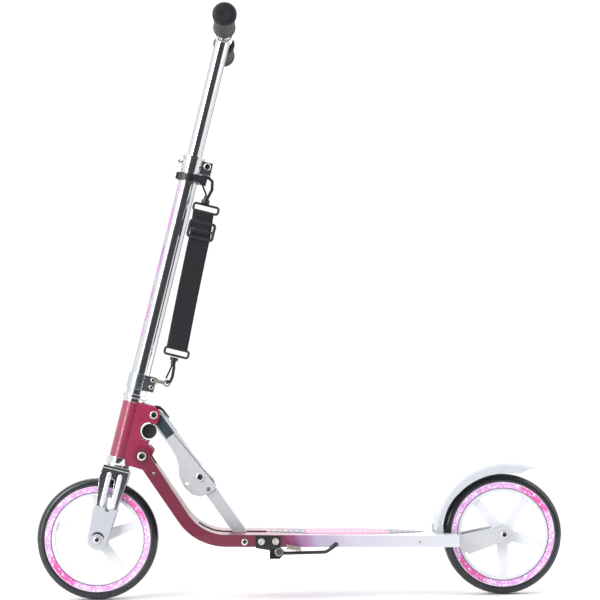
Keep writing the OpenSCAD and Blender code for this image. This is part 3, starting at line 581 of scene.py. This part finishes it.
def softCopy(node, body, matName, edge=0.6, segments=3, replacedSlot=True):
    source = nodes[node]
    bm = bmesh.new()
    bm.from_mesh(source.data)
    bmesh.ops.remove_doubles(bm, verts=bm.verts, dist=2e-6)
    bmesh.ops.dissolve_limit(bm, angle_limit=math.radians(0.6), verts=bm.verts, edges=bm.edges)
    words = node.split("_")
    obj = meshObject(words[0] + "".join(w.capitalize() for w in words[1:]), bm)
    if edge:
        bevel = obj.modifiers.new("roundedEdges", "BEVEL")
        bevel.width = edge * mm
        bevel.segments = segments
        bevel.limit_method = "ANGLE"
        bevel.angle_limit = math.radians(32)
        bevel.harden_normals = False
    place(obj, body, node if replacedSlot else None, [node], matName)
    obj.data.set_sharp_from_angle(angle=math.radians(38)) if not edge else None
    smoothAngle(obj)
    return obj


def smoothAngle(obj):  # keeps flat faces flat beside rounded ones
    weighted = obj.modifiers.new("faceNormals", "WEIGHTED_NORMAL")
    weighted.keep_sharp = True


rounded = {
    "frame_spar": ("frame", "framePaint", 1.8), "deck": ("frame", "framePaint", 2.2),
    "dropout_left": ("frame", "castMetal", 1.0), "dropout_right": ("frame", "castMetal", 1.0),
    "kick_bracket": ("frame", "blackPaint", 0.6), "kick_bolts": ("frame", "boltSteel", 0.5),
    "fender_pin": ("frame", "castMetal", 0.4),
    "head_tube": ("head", "headPaint", 0.9), "cup_lower": ("head", "chrome", 0.6),
    "cup_upper": ("head", "chrome", 0.6),
    "fork_crown": ("steering", "chrome", 0.9), "fork_leg_left": ("steering", "forkMetal", 1.6),
    "fork_leg_right": ("steering", "forkMetal", 1.6), "headset_nuts": ("steering", "chrome", 0.7),
    "outer_tube": ("steering", "tubeChrome", 0.3), "lower_collar": ("steering", "collarMetal", 0.6),
    "eyelet_tab": ("steering", "dullSteel", 0.4), "height_clamp": ("steering", "polishedTube", 0.6),
    "strap_collar": ("steering", "blackPlastic", 0.7), "hook_upper": ("steering", "blackPlastic", 1.0),
    "gate_upper": ("steering", "blackPlastic", 0.6),
    
    "hook_lower": ("steering", "blackPlastic", 1.0), "gate_lower": ("steering", "blackPlastic", 0.6),
    "stem_tube": ("stem", "polishedTube", 0.3), "handlebar": ("stem", "chrome", 0.5),
    "snap_button": ("button", "boltSteel", 0.8), "clamp_lever": ("lever", "blackPlastic", 1.2),
    "strut_upper": ("upper_strut", "satinMetal", 1.0), "strut_sleeve": ("upper_strut", "bluePaint", 0.2),
    "strut_lower": ("lower_strut", "satinMetal", 1.8), "detent_pin": ("lower_strut", "boltSteel", 0.4),
    "release_lever": ("release", "blackPlastic", 1.0), "latch_pad": ("release", "padRubber", 1.6),
    "kick_pivot": ("stand", "boltSteel", 0.6),
    
    "front_rim": ("front_wheel", "milkyPlastic", 2.2), "rear_rim": ("rear_wheel", "milkyPlastic", 2.2),
    "front_hub": ("front_wheel", "boltSteel", 0.5), "rear_hub": ("rear_wheel", "boltSteel", 0.5),
}
for node, (body, matName, edge) in rounded.items():
    softCopy(node, body, matName, edge)
print("rounded pieces:", len(rounded))

nodes["grip_tape"].data.materials.clear()
nodes["grip_tape"].data.materials.append(mats["gripTape"])

# tyres and printed rings
tyreShape = [(90.0, 13.6), (91.0, 14.9), (93.0, 15.0), (95.6, 14.6), (98.2, 13.2), (100.3, 11.0),
             (101.7, 7.8),
             (102.35, 4.0), (102.5, 0.0)]
tyreShape = tyreShape + [(r, -z) for r, z in tyreShape[-2::-1]] + [(89.3, -12.6), (89.3, 12.6)]
ringShape = [(78.0, 11.6), (78.6, 12.3), (80.0, 12.4), (87.6, 12.4), (88.6, 12.9), (89.25, 12.6),
             (89.3, 11.0),
             (89.3, -11.0), (89.25, -12.6), (88.6, -12.9), (87.6, -12.4), (80.0, -12.4), (78.6, -12.3),
             (78.0, -11.6)]
for label, x in (("front", wheels["frontX"]), ("rear", wheels["rearX"])):
    body = label + "_wheel"
    at = crossMatrix(x, wheels["radius"])
    place(lathe(label + "Tyre", tyreShape, at, 144), body, label + "_tyre", [label + "_tyre"], "tyreRubber")
    ring = place(lathe(label + "Ring", ringShape, at, 144), body, label + "_ring", [label + "_ring"],
                 label + "Ring")
    ring.data.set_sharp_from_angle(angle=math.radians(50))
print("tyres ready")


# grips with ribs, a flange and a rounded inner bulb
grip = {"inner": 65.0, "ribs": 9, "bore": 12.75}


def gripShape():
    rows = [(grip["bore"], 0.0), (15.5, 0.3), (17.9, 2.2), (18.9, 6.0), (18.7, 11.0), (17.8, 15.5)]
    start, end = 19.0, 92.0
    for i in range(grip["ribs"] * 6 + 1):
        u = i / (grip["ribs"] * 6)
        rib = 0.42 * (0.5 - 0.5 * math.cos(math.tau * u * grip["ribs"]))
        waist = 17.0 + 0.55 * (2 * u - 1) ** 2
        rows.append((waist + rib, start + u * (end - start)))
    rows += [(17.7, 96.0), (18.2, 100.5), (19.2, 103.2), (19.9, 106.0), (19.9, 108.4), (19.2, 111.4),
             (17.4, 113.8),
             (14.0, 115.0), (6.0, 114.6), (2.0, 113.6), (0.4, 113.4)]
    return rows


for label, sign in (("Left", 1), ("Right", -1)):
    at = stemMatrix(0, -grip["inner"] * sign, stem["barReach"]) @ Matrix.Rotation(math.radians(90 * sign),
                                                                                  4, "X")
    piece = lathe("grip" + label, gripShape(), at, 72, closed=False)
    node = "grip_" + label.lower()
    place(piece, "stem", node, [node], "gripRubber")
print("grips ready")


# socket head bolts
def hexRadius(angle, flat):
    part = math.radians(60)
    return flat / math.cos((angle % part) - part / 2)


def boltHead(name, at, radius, height, body, socket=None, matName="boltSteel"):
    steps = 48
    flat = socket or radius * 0.45
    angles = [math.tau * i / steps for i in range(steps)]
    circle = lambda r, z: [(r * mm * math.cos(a), r * mm * math.sin(a), z * mm) for a in angles]
    six = lambda f, z: [(hexRadius(a, f) * mm * math.cos(a), hexRadius(a, f) * mm * math.sin(a),
                         z * mm) for a in angles]
    rings = [circle(radius, 0), circle(radius, height * 0.45), circle(radius * 0.95, height * 0.74),
             circle(radius * 0.82, height * 0.94), circle(radius * 0.7, height), six(flat * 1.06, height),
             six(flat, height - 0.25), six(flat * 0.98, height * 0.35)]
    piece = ringStack(name, rings, at)
    piece.data.materials.append(mats[matName])
    piece.data.materials.append(mats["socketDark"])
    # the socket's floor and lower walls take the painted shade
    for face in piece.data.polygons:
        low = min((at.inverted() @ piece.data.vertices[v].co).z for v in face.vertices)
        face.material_index = 1 if low <= height * 0.36 * mm and all(
            (at.inverted() @ piece.data.vertices[v].co).xy.length < flat * 1.25 * mm for v in face.vertices) else 0
    piece.data.polygons.foreach_set("use_smooth", [True] * len(piece.data.polygons))
    piece.data.set_sharp_from_angle(angle=math.radians(40))
    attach(piece, body)
    return piece


def rodBetween(name, at, radius, half, body, node):  # the plain shank of a cross bolt
    piece = lathe(name, [(radius - 0.3, -half), (radius, -half + 0.3), (radius, half - 0.3),
                         (radius - 0.3, half)],
                  at, 48, closed=False)
    return place(piece, body, node, [node], "boltSteel")


crossBolts = [  # node, body, place, shank radius, half length, head radius, head height
    ("fold_bolt", "frame", stemPoint(36.5, 0, 259.0), 5.0, 32.5, 7.6, 3.4),
    ("strut_head_bolt", "head", stemPoint(39.2, 0, 330.7), 4.5, 22.0, 7.0, 3.4),
    ("front_axle", "steering", Vector((wheels["frontX"] * mm, 0, wheels["radius"] * mm)), 4.0, 27.0, 6.4,
     3.6),
    ("rear_axle", "frame", Vector((wheels["rearX"] * mm, 0, wheels["radius"] * mm)), 4.0, 24.0, 6.4, 3.6),
    ("knee_bolt", "upper_strut", Vector((-0.1725, 0, 0.2051)), 4.5, 14.5, 7.0, 2.4),
]
for node, body, centre, shank, half, headR, headH in crossBolts:
    words = node.split("_")
    base = words[0] + "".join(w.capitalize() for w in words[1:])
    near = Matrix.Translation(centre) @ Matrix.Rotation(math.radians(90), 4, "X")
    far = Matrix.Translation(centre) @ Matrix.Rotation(math.radians(-90), 4, "X")
    rodBetween(base, near, shank, half, body, node)
    lift = Matrix.Translation((0, 0, half * mm))
    boltHead(base + "HeadLeft", near @ lift, headR, headH, body)
    boltHead(base + "HeadRight", far @ lift, headR, headH, body)

centre = Vector((-0.098, 0, 0.0995))
for label, side in (("Left", 1), ("Right", -1)):
    turn = Matrix.Translation(centre) @ Matrix.Rotation(math.radians(90 * side), 4, "X")
    head = boltHead("strutFootHead" + label, turn @ Matrix.Translation((0, 0, 60 * mm)), 5.6, 2.6, "frame")
    if label == "Left":
        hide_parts("strut_foot_bolts")
for label, s in (("Low", 375.2), ("High", 387.6)):
    for side, sign in (("Left", 1), ("Right", -1)):
        at = Matrix.Translation(stemPoint(23.4, 0, s)) @ Matrix.Rotation(math.radians(90 * sign), 4, "X")
        head = boltHead("collarBolt" + label + side, at @ Matrix.Translation((0, 0, 18.7 * mm)), 3.6, 2.2,
                        "steering")
        if label == "Low" and side == "Left":
            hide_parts("collar_bolts")
at = Matrix.Translation(stemPoint(25.9, 0, 765.2)) @ Matrix.Rotation(math.radians(90), 4, "X")
head = boltHead("clampBoltHead", at @ Matrix.Translation((0, 0, 8 * mm)), 6.5, 3.6, "steering")
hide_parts("clamp_bolt")
print("bolts ready")


# the strap: woven tape with a doubled fold at the foot and another at the top
strap = {"y": -24.0, "width": 36.0, "thick": 1.6, "foot": 449.5, "top": 688.0, "footAt": 50.5, "topAt": 38.5}


def strapCentre(s):
    u = (s - strap["foot"]) / (strap["top"] - strap["foot"])
    bow = -2.2 * math.sin(math.pi * u)
    return strap["footAt"] + (43.2 - strap["footAt"]) * min(1.0, u * 1.25) + bow * 0.4 + (
        (strap["topAt"] - 43.2) * max(0.0, (u - 0.82) / 0.18))


def strapPiece():
    bm = bmesh.new()
    rows = []
    path = []
    half = strap["width"] / 2
    count = 90
    for i in range(count + 1):
        s = strap["foot"] + (strap["top"] - strap["foot"]) * i / count
        ripple = 0.35 * math.sin(i * 0.33) + 0.2 * math.sin(i * 0.91 + 1.3)
        path.append((s, strapCentre(s), ripple))
    columns = 13
    for s, centreT, ripple in path:
        row = []
        for j in range(columns):
            v = 2 * j / (columns - 1) - 1
            crown = 0.35 * (1 - v * v)
            row.append((centreT + half * v, strap["y"] - ripple - crown, s))
        rows.append(row)
    front = [[bm.verts.new(stemPoint(t, y - strap["thick"] / 2, s)) for t, y, s in row] for row in rows]
    back = [[bm.verts.new(stemPoint(t, y + strap["thick"] / 2, s)) for t, y, s in row] for row in rows]
    for i in range(count):
        for j in range(columns - 1):
            bm.faces.new((front[i][j], front[i][j + 1], front[i + 1][j + 1], front[i + 1][j]))
            bm.faces.new((back[i][j], back[i + 1][j], back[i + 1][j + 1], back[i][j + 1]))
        bm.faces.new((front[i][0], front[i + 1][0], back[i + 1][0], back[i][0]))
        bm.faces.new((front[i][-1], back[i][-1], back[i + 1][-1], front[i + 1][-1]))
    for i in (0, count):
        for j in range(columns - 1):
            bm.faces.new((front[i][j], back[i][j], back[i][j + 1], front[i][j + 1]))
    return meshObject("strapWebbing", bm)


def strapPatch(name, low, high, lift, inset=0.6):  # a doubled layer sewn on the tape
    bm = bmesh.new()
    grid = []
    half = strap["width"] / 2 - inset
    count, columns = 16, 9
    for i in range(count + 1):
        s = low + (high - low) * i / count
        row = []
        for j in range(columns):
            v = 2 * j / (columns - 1) - 1
            edge = min(1.0, min(i, count - i) / 1.5) * min(1.0, (1 - abs(v)) * 6 + 0.1)
            row.append(bm.verts.new(stemPoint(strapCentre(s) + half * v, strap["y"] - strap["thick"] / 2 - 0.5
                                              - lift * edge, s)))
        grid.append(row)
    for i in range(count):
        for j in range(columns - 1):
            bm.faces.new((grid[i][j], grid[i][j + 1], grid[i + 1][j + 1], grid[i + 1][j]))
    obj = meshObject(name, bm)
    solid = obj.modifiers.new("layer", "SOLIDIFY")
    solid.thickness = 0.8 * mm
    solid.offset = 0
    return obj


webbing = place(strapPiece(), "steering", "webbing", ["webbing"], "strapWeb")
edges = webbing.modifiers.new("softEdge", "BEVEL")
edges.width = 0.4 * mm
edges.segments = 2
foldFoot = place(strapPatch("strapFoldFoot", 450.5, 481.0, 1.1), "steering", "webbing", (), "strapWeb")
foldTop = place(strapPatch("strapFoldTop", 648.0, 686.0, 1.1), "steering", "webbing", (), "strapWeb")
print("strap ready")


# the stand's spring, a coil round the leg's lug
spring = {"turns": 7, "radius": 3.5, "wire": 1.15, "from": (13.0, 9.0), "to": (38.0, 5.0)}


def coilPiece():
    lean = Matrix.Rotation(math.radians(-12), 4, "X")
    base = Matrix.Translation((-0.0413, -0.062, 0.08098)) @ lean
    start = Vector((spring["from"][0], -7.1, spring["from"][1]))
    end = Vector((spring["to"][0], -7.1, spring["to"][1]))
    axis = (end - start).normalized()
    side = Vector((0, 1, 0))
    up = axis.cross(side)
    points = []
    for i in range(spring["turns"] * 16 + 1):
        a = math.tau * i / 16
        along = start + (end - start) * i / (spring["turns"] * 16)
        points.append(along + (side * math.cos(a) + up * math.sin(a)) * spring["radius"])
    rings = []
    for i, p in enumerate(points):
        ahead = (points[min(i + 1, len(points) - 1)] - points[max(i - 1, 0)]).normalized()
        out = ahead.cross(axis).normalized()
        other = ahead.cross(out)
        rings.append([tuple((p + (out * math.cos(b) + other * math.sin(b)) * spring["wire"]) * mm)
                      for b in (math.tau * k / 8 for k in range(8))])
    return ringStack("standSpring", rings, base)


place(coilPiece(), "stand", "kick_spring", ["kick_spring"], "dullSteel")

# the fender, a thin shell whose skirt is deepest over the wheel and ends in a raised tip
fender = {"half": 23.0, "round": 7.0, "wall": 2.2, "steps": 72}
fenderRows = [  # angle about the rear axle, skirt radius, outer radius, half-width share
    (176.6, 108.2, 116.6, 0.62), (170.0, 107.8, 117.8, 0.74), (162.0, 107.2, 119.4, 0.86),
              (147.5, 106.0, 120.4, 1.0),
    (133.7, 104.4, 120.6, 1.0), (118.1, 104.0, 121.0, 1.0), (104.4, 104.0, 121.6, 1.0),
              (91.2, 104.2, 122.0, 1.0),
    (80.3, 105.6, 122.4, 1.0), (73.0, 109.5, 123.2, 0.98), (69.6, 116.5, 124.0, 0.95),
              (66.8, 122.0, 125.0, 0.9),
    (64.4, 123.4, 125.8, 0.8)]


def between(rows, key):
    for a, b in zip(rows, rows[1:]):
        if a[0] >= key >= b[0]:
            u = (a[0] - key) / (a[0] - b[0])
            u = u * u * (3 - 2 * u)
            return [p + (q - p) * u for p, q in zip(a[1:], b[1:])]
    return list(rows[-1][1:])


def fenderShell():
    rings = []
    for i in range(fender["steps"] + 1):
        angle = fenderRows[0][0] + (fenderRows[-1][0] - fenderRows[0][0]) * i / fender["steps"]
        skirt, outer, share = between(fenderRows, angle)
        half = fender["half"] * share
        bend = min(fender["round"], outer - skirt - 0.4)
        section = [(-half, skirt), (-half, (skirt + outer - bend) / 2)]
        section += [(-half + bend - bend * math.cos(a), outer - bend + bend * math.sin(a))
                    for a in (math.radians(15 * k) for k in range(7))]
        flatHalf = half - bend
        section += [(-flatHalf * k / 3, outer + 0.5 * (1 - (k / 3) ** 2)) for k in (2, 1, 0)]
        section += [(-y, r) for y, r in section[-2::-1]]
        direction = Vector((math.cos(math.radians(angle)), 0, math.sin(math.radians(angle))))
        rings.append([Vector((wheels["rearX"], 0, wheels["radius"])) + direction * r + Vector((0, y, 0))
                      for y, r in section])
    bm = bmesh.new()
    rows = [[bm.verts.new(p * mm) for p in ring] for ring in rings]
    for low, high in zip(rows, rows[1:]):
        for a, b, c, d in zip(low, low[1:], high[1:], high):
            bm.faces.new((a, b, c, d))
    obj = meshObject("fenderShell", bm)
    solid = obj.modifiers.new("wall", "SOLIDIFY")
    solid.thickness = fender["wall"] * mm
    solid.offset = -1.0
    solid.use_even_offset = True
    edge = obj.modifiers.new("softEdge", "BEVEL")
    edge.width = 0.7 * mm
    edge.segments = 2
    edge.limit_method = "ANGLE"
    edge.angle_limit = math.radians(50)
    return obj


place(fenderShell(), "rear_fender", "fender", ["fender"], "fenderPlastic")
print("fender ready")


def sweep(name, points, radius, matrix, sides=14, closed=False):  # a round rod along a run of points
    rings = []
    count = len(points)
    side = None
    for i, p in enumerate(points):
        before = points[(i - 1) % count] if closed or i else p
        after = points[(i + 1) % count] if closed or i < count - 1 else p
        ahead = (after - before).normalized()
        side = (side or (Vector((0, 1, 0)) if abs(ahead.y) < 0.9 else Vector((1, 0, 0))))
        side = (side - ahead * side.dot(ahead)).normalized()
        other = ahead.cross(side)
        r = radius(i / (count - 1)) if callable(radius) else radius
        rings.append([tuple((p + (side * math.cos(a) + other * math.sin(a)) * r) * mm)
                      for a in (math.tau * k / sides for k in range(sides))])
    return ringStack(name, rings, matrix, closed=closed)


def rounded2d(width, height, corner, steps=6):  # a rounded rectangle about the origin
    points = []
    for cx, cz, start in ((1, 1, 0), (-1, 1, 90), (-1, -1, 180), (1, -1, 270)):
        for k in range(steps + 1):
            a = math.radians(start + 90 * k / steps)
            points.append((cx * (width / 2 - corner) + corner * math.cos(a),
                           cz * (height / 2 - corner) + corner * math.sin(a)))
    return points


buckle = {"rod": 2.1, "corner": 4.0}
buckles = [  # node, across, along the axis, width, height, bars
    ("ring_upper", 41.5, 693.0, 43.0, 12.0, ()), ("ring_lower", 51.5, 443.0, 41.0, 11.5, ()),
    ("slider", 42.5, 655.0, 42.5, 27.5, (0.0,))]
for node, across, along, width, height, bars in buckles:
    base = stemMatrix(across, strap["y"], along)
    outline = [Vector((x, -1.6 if node == "slider" else 0.0, z)) for x,
               z in rounded2d(width, height, buckle["corner"])]
    words = node.split("_")
    label = words[0] + "".join(w.capitalize() for w in words[1:])
    rod = buckle["rod"] * (1.25 if node == "slider" else 1.0)
    place(sweep(label + "Frame", outline, rod, base, closed=True), "steering", node, [node], "blackPlastic")
    for z in bars:
        bar = [Vector((x, -1.8, z)) for x in (-width / 2, -width / 4, 0, width / 4, width / 2)]
        place(sweep(label + "Bar", bar, buckle["rod"], base), "steering", node, (), "blackPlastic")
print("buckles ready")

# the stand's leg: an eye, a straight rod and a bent foot
leg = {"rod": 2.9, "eye": 6.0, "foot": 3.9}


def legPiece():
    base = Matrix.Translation((-0.0413, -0.062, 0.08098)) @ Matrix.Rotation(math.radians(-12), 4, "X")
    run = [(3.0, 0.2), (14.0, -0.6), (40.0, -0.2), (72.0, 0.3), (79.0, 0.7), (83.0, 2.6), (87.0, 5.6),
           (96.5, 13.0)]
    points = []
    for (x0, z0), (x1, z1) in zip(run, run[1:]):
        points += [Vector((x0 + (x1 - x0) * k / 4, 0, z0 + (z1 - z0) * k / 4)) for k in range(4)]
    points.append(Vector((run[-1][0], 0, run[-1][1])))
    rod = sweep("standLeg", points,
                lambda u: leg["rod"] if u < 0.8 else leg["rod"] + (leg["foot"] - leg["rod"]) * (
        (u - 0.8) / 0.2), base, sides=20)
    bm = bmesh.new()
    bm.from_mesh(rod.data)
    tip = base @ (points[-1] * mm)
    bmesh.ops.create_uvsphere(bm, u_segments=20, v_segments=12, radius=leg["foot"] * mm,
                              matrix=Matrix.Translation(tip))
    bm.to_mesh(rod.data)
    bm.free()
    eye = lathe("standEye", [(4.1, -4.6), (leg["eye"] - 0.6, -4.6), (leg["eye"], -4.0), (leg["eye"], 4.0),
                             (leg["eye"] - 0.6, 4.6), (4.1, 4.6)],
                base @ Matrix.Rotation(math.radians(90), 4, "X"), 48)
    place(eye, "stand", "kick_leg", (), "blackPaint")
    return rod


place(legPiece(), "stand", "kick_leg", ["kick_leg"], "blackPaint")

# a bright rounded back along the folding strut
back = {"from": (-0.2445, 0.3005), "to": (-0.1545, 0.1905), "half": 11.0, "out": 3.4}


def strutBack():
    start = Vector((back["from"][0], 0, back["from"][1]))
    end = Vector((back["to"][0], 0, back["to"][1]))
    along = (end - start).normalized()
    out = Vector((-along.z, 0, along.x))
    if out.x < 0:
        out = -out
    rings = []
    for i in range(17):
        u = i / 16
        ends = min(1.0, min(u, 1 - u) * 14 + 0.05) ** 0.5
        centre = start + (end - start) * u + out * 9.6 * mm
        rings.append([tuple(centre + Vector((0, 1, 0)) * back["half"] * mm * math.cos(a)
                            + out * (back["out"] * ends * max(0,
                                                              math.sin(a)) - 0.4 * max(0, -math.sin(a))) * mm)
                      for a in (math.tau * k / 28 for k in range(28))])
    return ringStack("strutBack", rings, Matrix())


place(strutBack(), "upper_strut", "strut_upper", (), "chrome")


def strutLine(name, side):  # the shadow line where the cheek turns into the rounded back
    start = Vector((back["from"][0], 0, back["from"][1]))
    end = Vector((back["to"][0], 0, back["to"][1]))
    along = (end - start).normalized()
    out = Vector((abs(along.z), 0, abs(along.x)))
    bm = bmesh.new()
    lift = Vector((0, side * 14.75 * mm, 0))
    low = [bm.verts.new(start + (end - start) * u + out * 7.4 * mm + lift) for u in (0.12, 0.4, 0.7, 1.0)]
    high = [bm.verts.new(start + (end - start) * u + out * 8.5 * mm + lift) for u in (0.12, 0.4, 0.7, 1.0)]
    for i in range(3):
        bm.faces.new((low[i], low[i + 1], high[i + 1], high[i]))
    obj = meshObject(name, bm)
    solid = obj.modifiers.new("layer", "SOLIDIFY")
    solid.thickness = 0.4 * mm
    solid.offset = 0
    place(obj, "upper_strut", "strut_upper", (), "shadowGrey")


strutLine("strutLineLeft", -1)
strutLine("strutLineRight", 1)
print("stand and strut ready")

# small screws and rivets
screwSpots = [("sparRivet", -249.7, 214.4, 36.9, 2.2), ("deckScrew", 196.0, 95.5, 60.0, 2.4)]
for name, x, z, y, r in screwSpots:
    for label, side in (("Left", 1), ("Right", -1)):
        at = Matrix.Translation((x * mm, 0, z * mm)) @ Matrix.Rotation(math.radians(90 * side), 4, "X")
        boltHead(name + label, at @ Matrix.Translation((0, 0, y * mm)), r, 1.2, "frame",
                 r * 0.4)
print("screws ready")


# painted shade: a dark crescent sheet over the pocket above the front axle on each fork leg
def crescent(name, side):
    bm = bmesh.new()
    outer, inner = [], []
    for i in range(25):
        a = math.radians(10 + 150 * i / 24)
        outer.append((-3.1 + 11.0 * math.cos(a), 107.4 + 11.0 * math.sin(a)))
        inner.append((-3.1 + 11.0 * math.cos(a) * 0.93, 107.4 + 7.6 * math.sin(a) - 0.2))
    y = side * 27.1
    front = [bm.verts.new(stemPoint(t, y + side * 0.25, s)) for t, s in outer]
    back = [bm.verts.new(stemPoint(t, y + side * 0.25, s)) for t, s in inner]
    for i in range(24):
        bm.faces.new((front[i], front[i + 1], back[i + 1], back[i]))
    obj = meshObject(name, bm)
    solid = obj.modifiers.new("layer", "SOLIDIFY")
    solid.thickness = 0.5 * mm
    solid.offset = 0
    return place(obj, "steering", "fork_leg_left" if side < 0 else "fork_leg_right", (), "socketDark")


def forkRib(name, t, side):
    half, high = forkLook["ribWide"] / 2, forkLook["ribHigh"]
    rings = []
    count = 20
    for i in range(count + 1):
        u = i / count
        s = forkLook["ribFrom"] + (forkLook["ribTo"] - forkLook["ribFrom"]) * u
        ends = min(1.0, (1 - abs(2 * u - 1)) * 7 + 0.02) ** 0.5
        ring = []
        for k in range(24):
            a = math.tau * k / 24
            ring.append(stemPoint(t + half * ends * math.cos(a),
                                  side * (26.6 + high * ends * max(0, math.sin(a))
                                                                          - 0.6 * max(0, -math.sin(a))), s))
        rings.append(ring)
    obj = ringStack(name, rings, Matrix())
    # the ribs take the pale colour as painted highlight
    return place(obj, "steering", "fork_leg_left" if side < 0 else "fork_leg_right", (), "paleMetal")


for side, label in ((-1, "Left"), (1, "Right")):
    forkRib("forkRibFront" + label, -9.5, side)
    forkRib("forkRibBack" + label, 9.0, side)
crescent("forkPocketLeft", -1)
crescent("forkPocketRight", 1)
print("fork pockets ready")


studio = {"floor": (0.93, 0.93, 0.93), "skyLow": 0.07, "skyHigh": 1.0, "key": 85.0, "fill": 26.0,
          "strip": 34.0,
          "floorBack": 0.9}
panel = {"left": -0.46, "right": 0.72, "soft": 0.04, "top": 0.5}


def floorPiece():
    bm = bmesh.new()
    bmesh.ops.create_grid(bm, x_segments=4, y_segments=4, size=1.0)
    bmesh.ops.scale(bm, vec=(1.5, 0.9, 1.0), verts=bm.verts)
    obj = meshObject("studioFloor", bm)
    mat, tree, links, bsdf = principled("paleFloor", {"Roughness": 0.75, "Specular IOR Level": 0.2})
    marks = groupNode(tree, handling, {"Smudge Scale": 0.8, "Grain Scale": 300.0})
    links.new(mixColour(tree, links, marks.outputs["Smudge"], studio["floor"],
                        tuple(c * 0.99 for c in studio["floor"])), bsdf.inputs["Base Color"])
    obj.data.materials.append(mat)
    obj.location = (0, studio["floorBack"] - 0.9, -0.0005)


def skyLight():  # soft white room with a dark panel behind the viewer
    world = bpy.data.worlds.new("studioSky")
    bpy.context.scene.world = world
    world.use_nodes = True
    tree, links = world.node_tree.nodes, world.node_tree.links
    tree.clear()
    out = tree.new("ShaderNodeOutputWorld")
    coord = tree.new("ShaderNodeTexCoord")
    split = tree.new("ShaderNodeSeparateXYZ")
    links.new(coord.outputs["Generated"], split.inputs[0])
    side, ahead, up = split.outputs
    left, right, soft = panel["left"], panel["right"], panel["soft"]
    mask = mathNode(tree, links, "MULTIPLY", rangeNode(tree, links, side, 0.0, 1.0, left - soft, left + soft),
                    rangeNode(tree, links, side, 1.0, 0.0, right - soft, right + soft))
    mask = mathNode(tree, links, "MULTIPLY", mask, rangeNode(tree, links, ahead, 1.0, 0.0, -0.3, -0.1))
    mask = mathNode(tree, links, "MULTIPLY", mask, rangeNode(tree, links, up, 1.0, 0.0, panel["top"],
                                                             panel["top"] + 0.2))
    strength = rangeNode(tree, links, mask, studio["skyHigh"], studio["skyLow"])
    room = tree.new("ShaderNodeBackground")
    room.inputs["Color"].default_value = (0.97, 0.98, 1.0, 1)
    links.new(strength, room.inputs["Strength"])
    plain = tree.new("ShaderNodeBackground")
    plain.inputs["Color"].default_value = (1, 1, 1, 1)
    plain.inputs["Strength"].default_value = 1.02
    rays = tree.new("ShaderNodeLightPath")
    mix = tree.new("ShaderNodeMixShader")
    links.new(rays.outputs["Is Camera Ray"], mix.inputs[0])
    links.new(room.outputs[0], mix.inputs[1])
    links.new(plain.outputs[0], mix.inputs[2])
    links.new(mix.outputs[0], out.inputs[0])


def areaLight(name, place, target, size, power):
    lamp = bpy.data.lights.new(name, "AREA")
    lamp.shape = "RECTANGLE"
    lamp.size, lamp.size_y = size
    lamp.energy = power
    obj = bpy.data.objects.new(name, lamp)
    obj.location = place
    obj.rotation_euler = (Vector(target) - Vector(place)).to_track_quat("-Z", "Y").to_euler()
    bpy.context.scene.collection.objects.link(obj)


floorPiece()
skyLight()
areaLight("keyLight", (-2.6, -1.9, 2.6), (0, 0, 0.4), (1.6, 2.2), studio["key"])
areaLight("stripLight", (-2.3, -2.1, 0.9), (-0.3, 0, 0.4), (0.22, 2.2), studio["strip"])
areaLight("sideLight", (2.9, -1.2, 1.8), (0, 0, 0.3), (1.2, 2.4), studio["fill"])
areaLight("topLight", (0.2, 0.6, 3.2), (0, 0, 0.1), (3.0, 2.0), studio["fill"])
areaLight("backLight", (-0.4, 3.2, 1.6), (0, 0, 0.4), (3.0, 2.4), studio["fill"])

camera = {"place": (-0.141, -2.7548, 0.3869), "yaw": 2.942, "pitch": 2.489, "roll": -0.386, "lens": 96.11}


def addCamera():
    data = bpy.data.cameras.new("sideCamera")
    data.lens = camera["lens"]
    data.sensor_width = 36.0
    data.clip_end = 60.0
    obj = bpy.data.objects.new("sideCamera", data)
    yaw, pitch, roll = (math.radians(camera[k]) for k in ("yaw", "pitch", "roll"))
    ahead = Vector((math.sin(yaw) * math.cos(pitch), math.cos(yaw) * math.cos(pitch), math.sin(pitch)))
    right = Vector((math.cos(yaw), -math.sin(yaw), 0))
    up = right.cross(ahead)
    r = math.cos(roll) * right + math.sin(roll) * up
    u = -math.sin(roll) * right + math.cos(roll) * up
    turn = Matrix((r, u, -ahead)).transposed()
    obj.matrix_world = Matrix.Translation(camera["place"]) @ turn.to_4x4()
    bpy.context.scene.collection.objects.link(obj)
    bpy.context.scene.camera = obj


addCamera()
bpy.context.scene.view_settings.view_transform = "Standard"
print("studio ready")

bpy.context.view_layer.update()
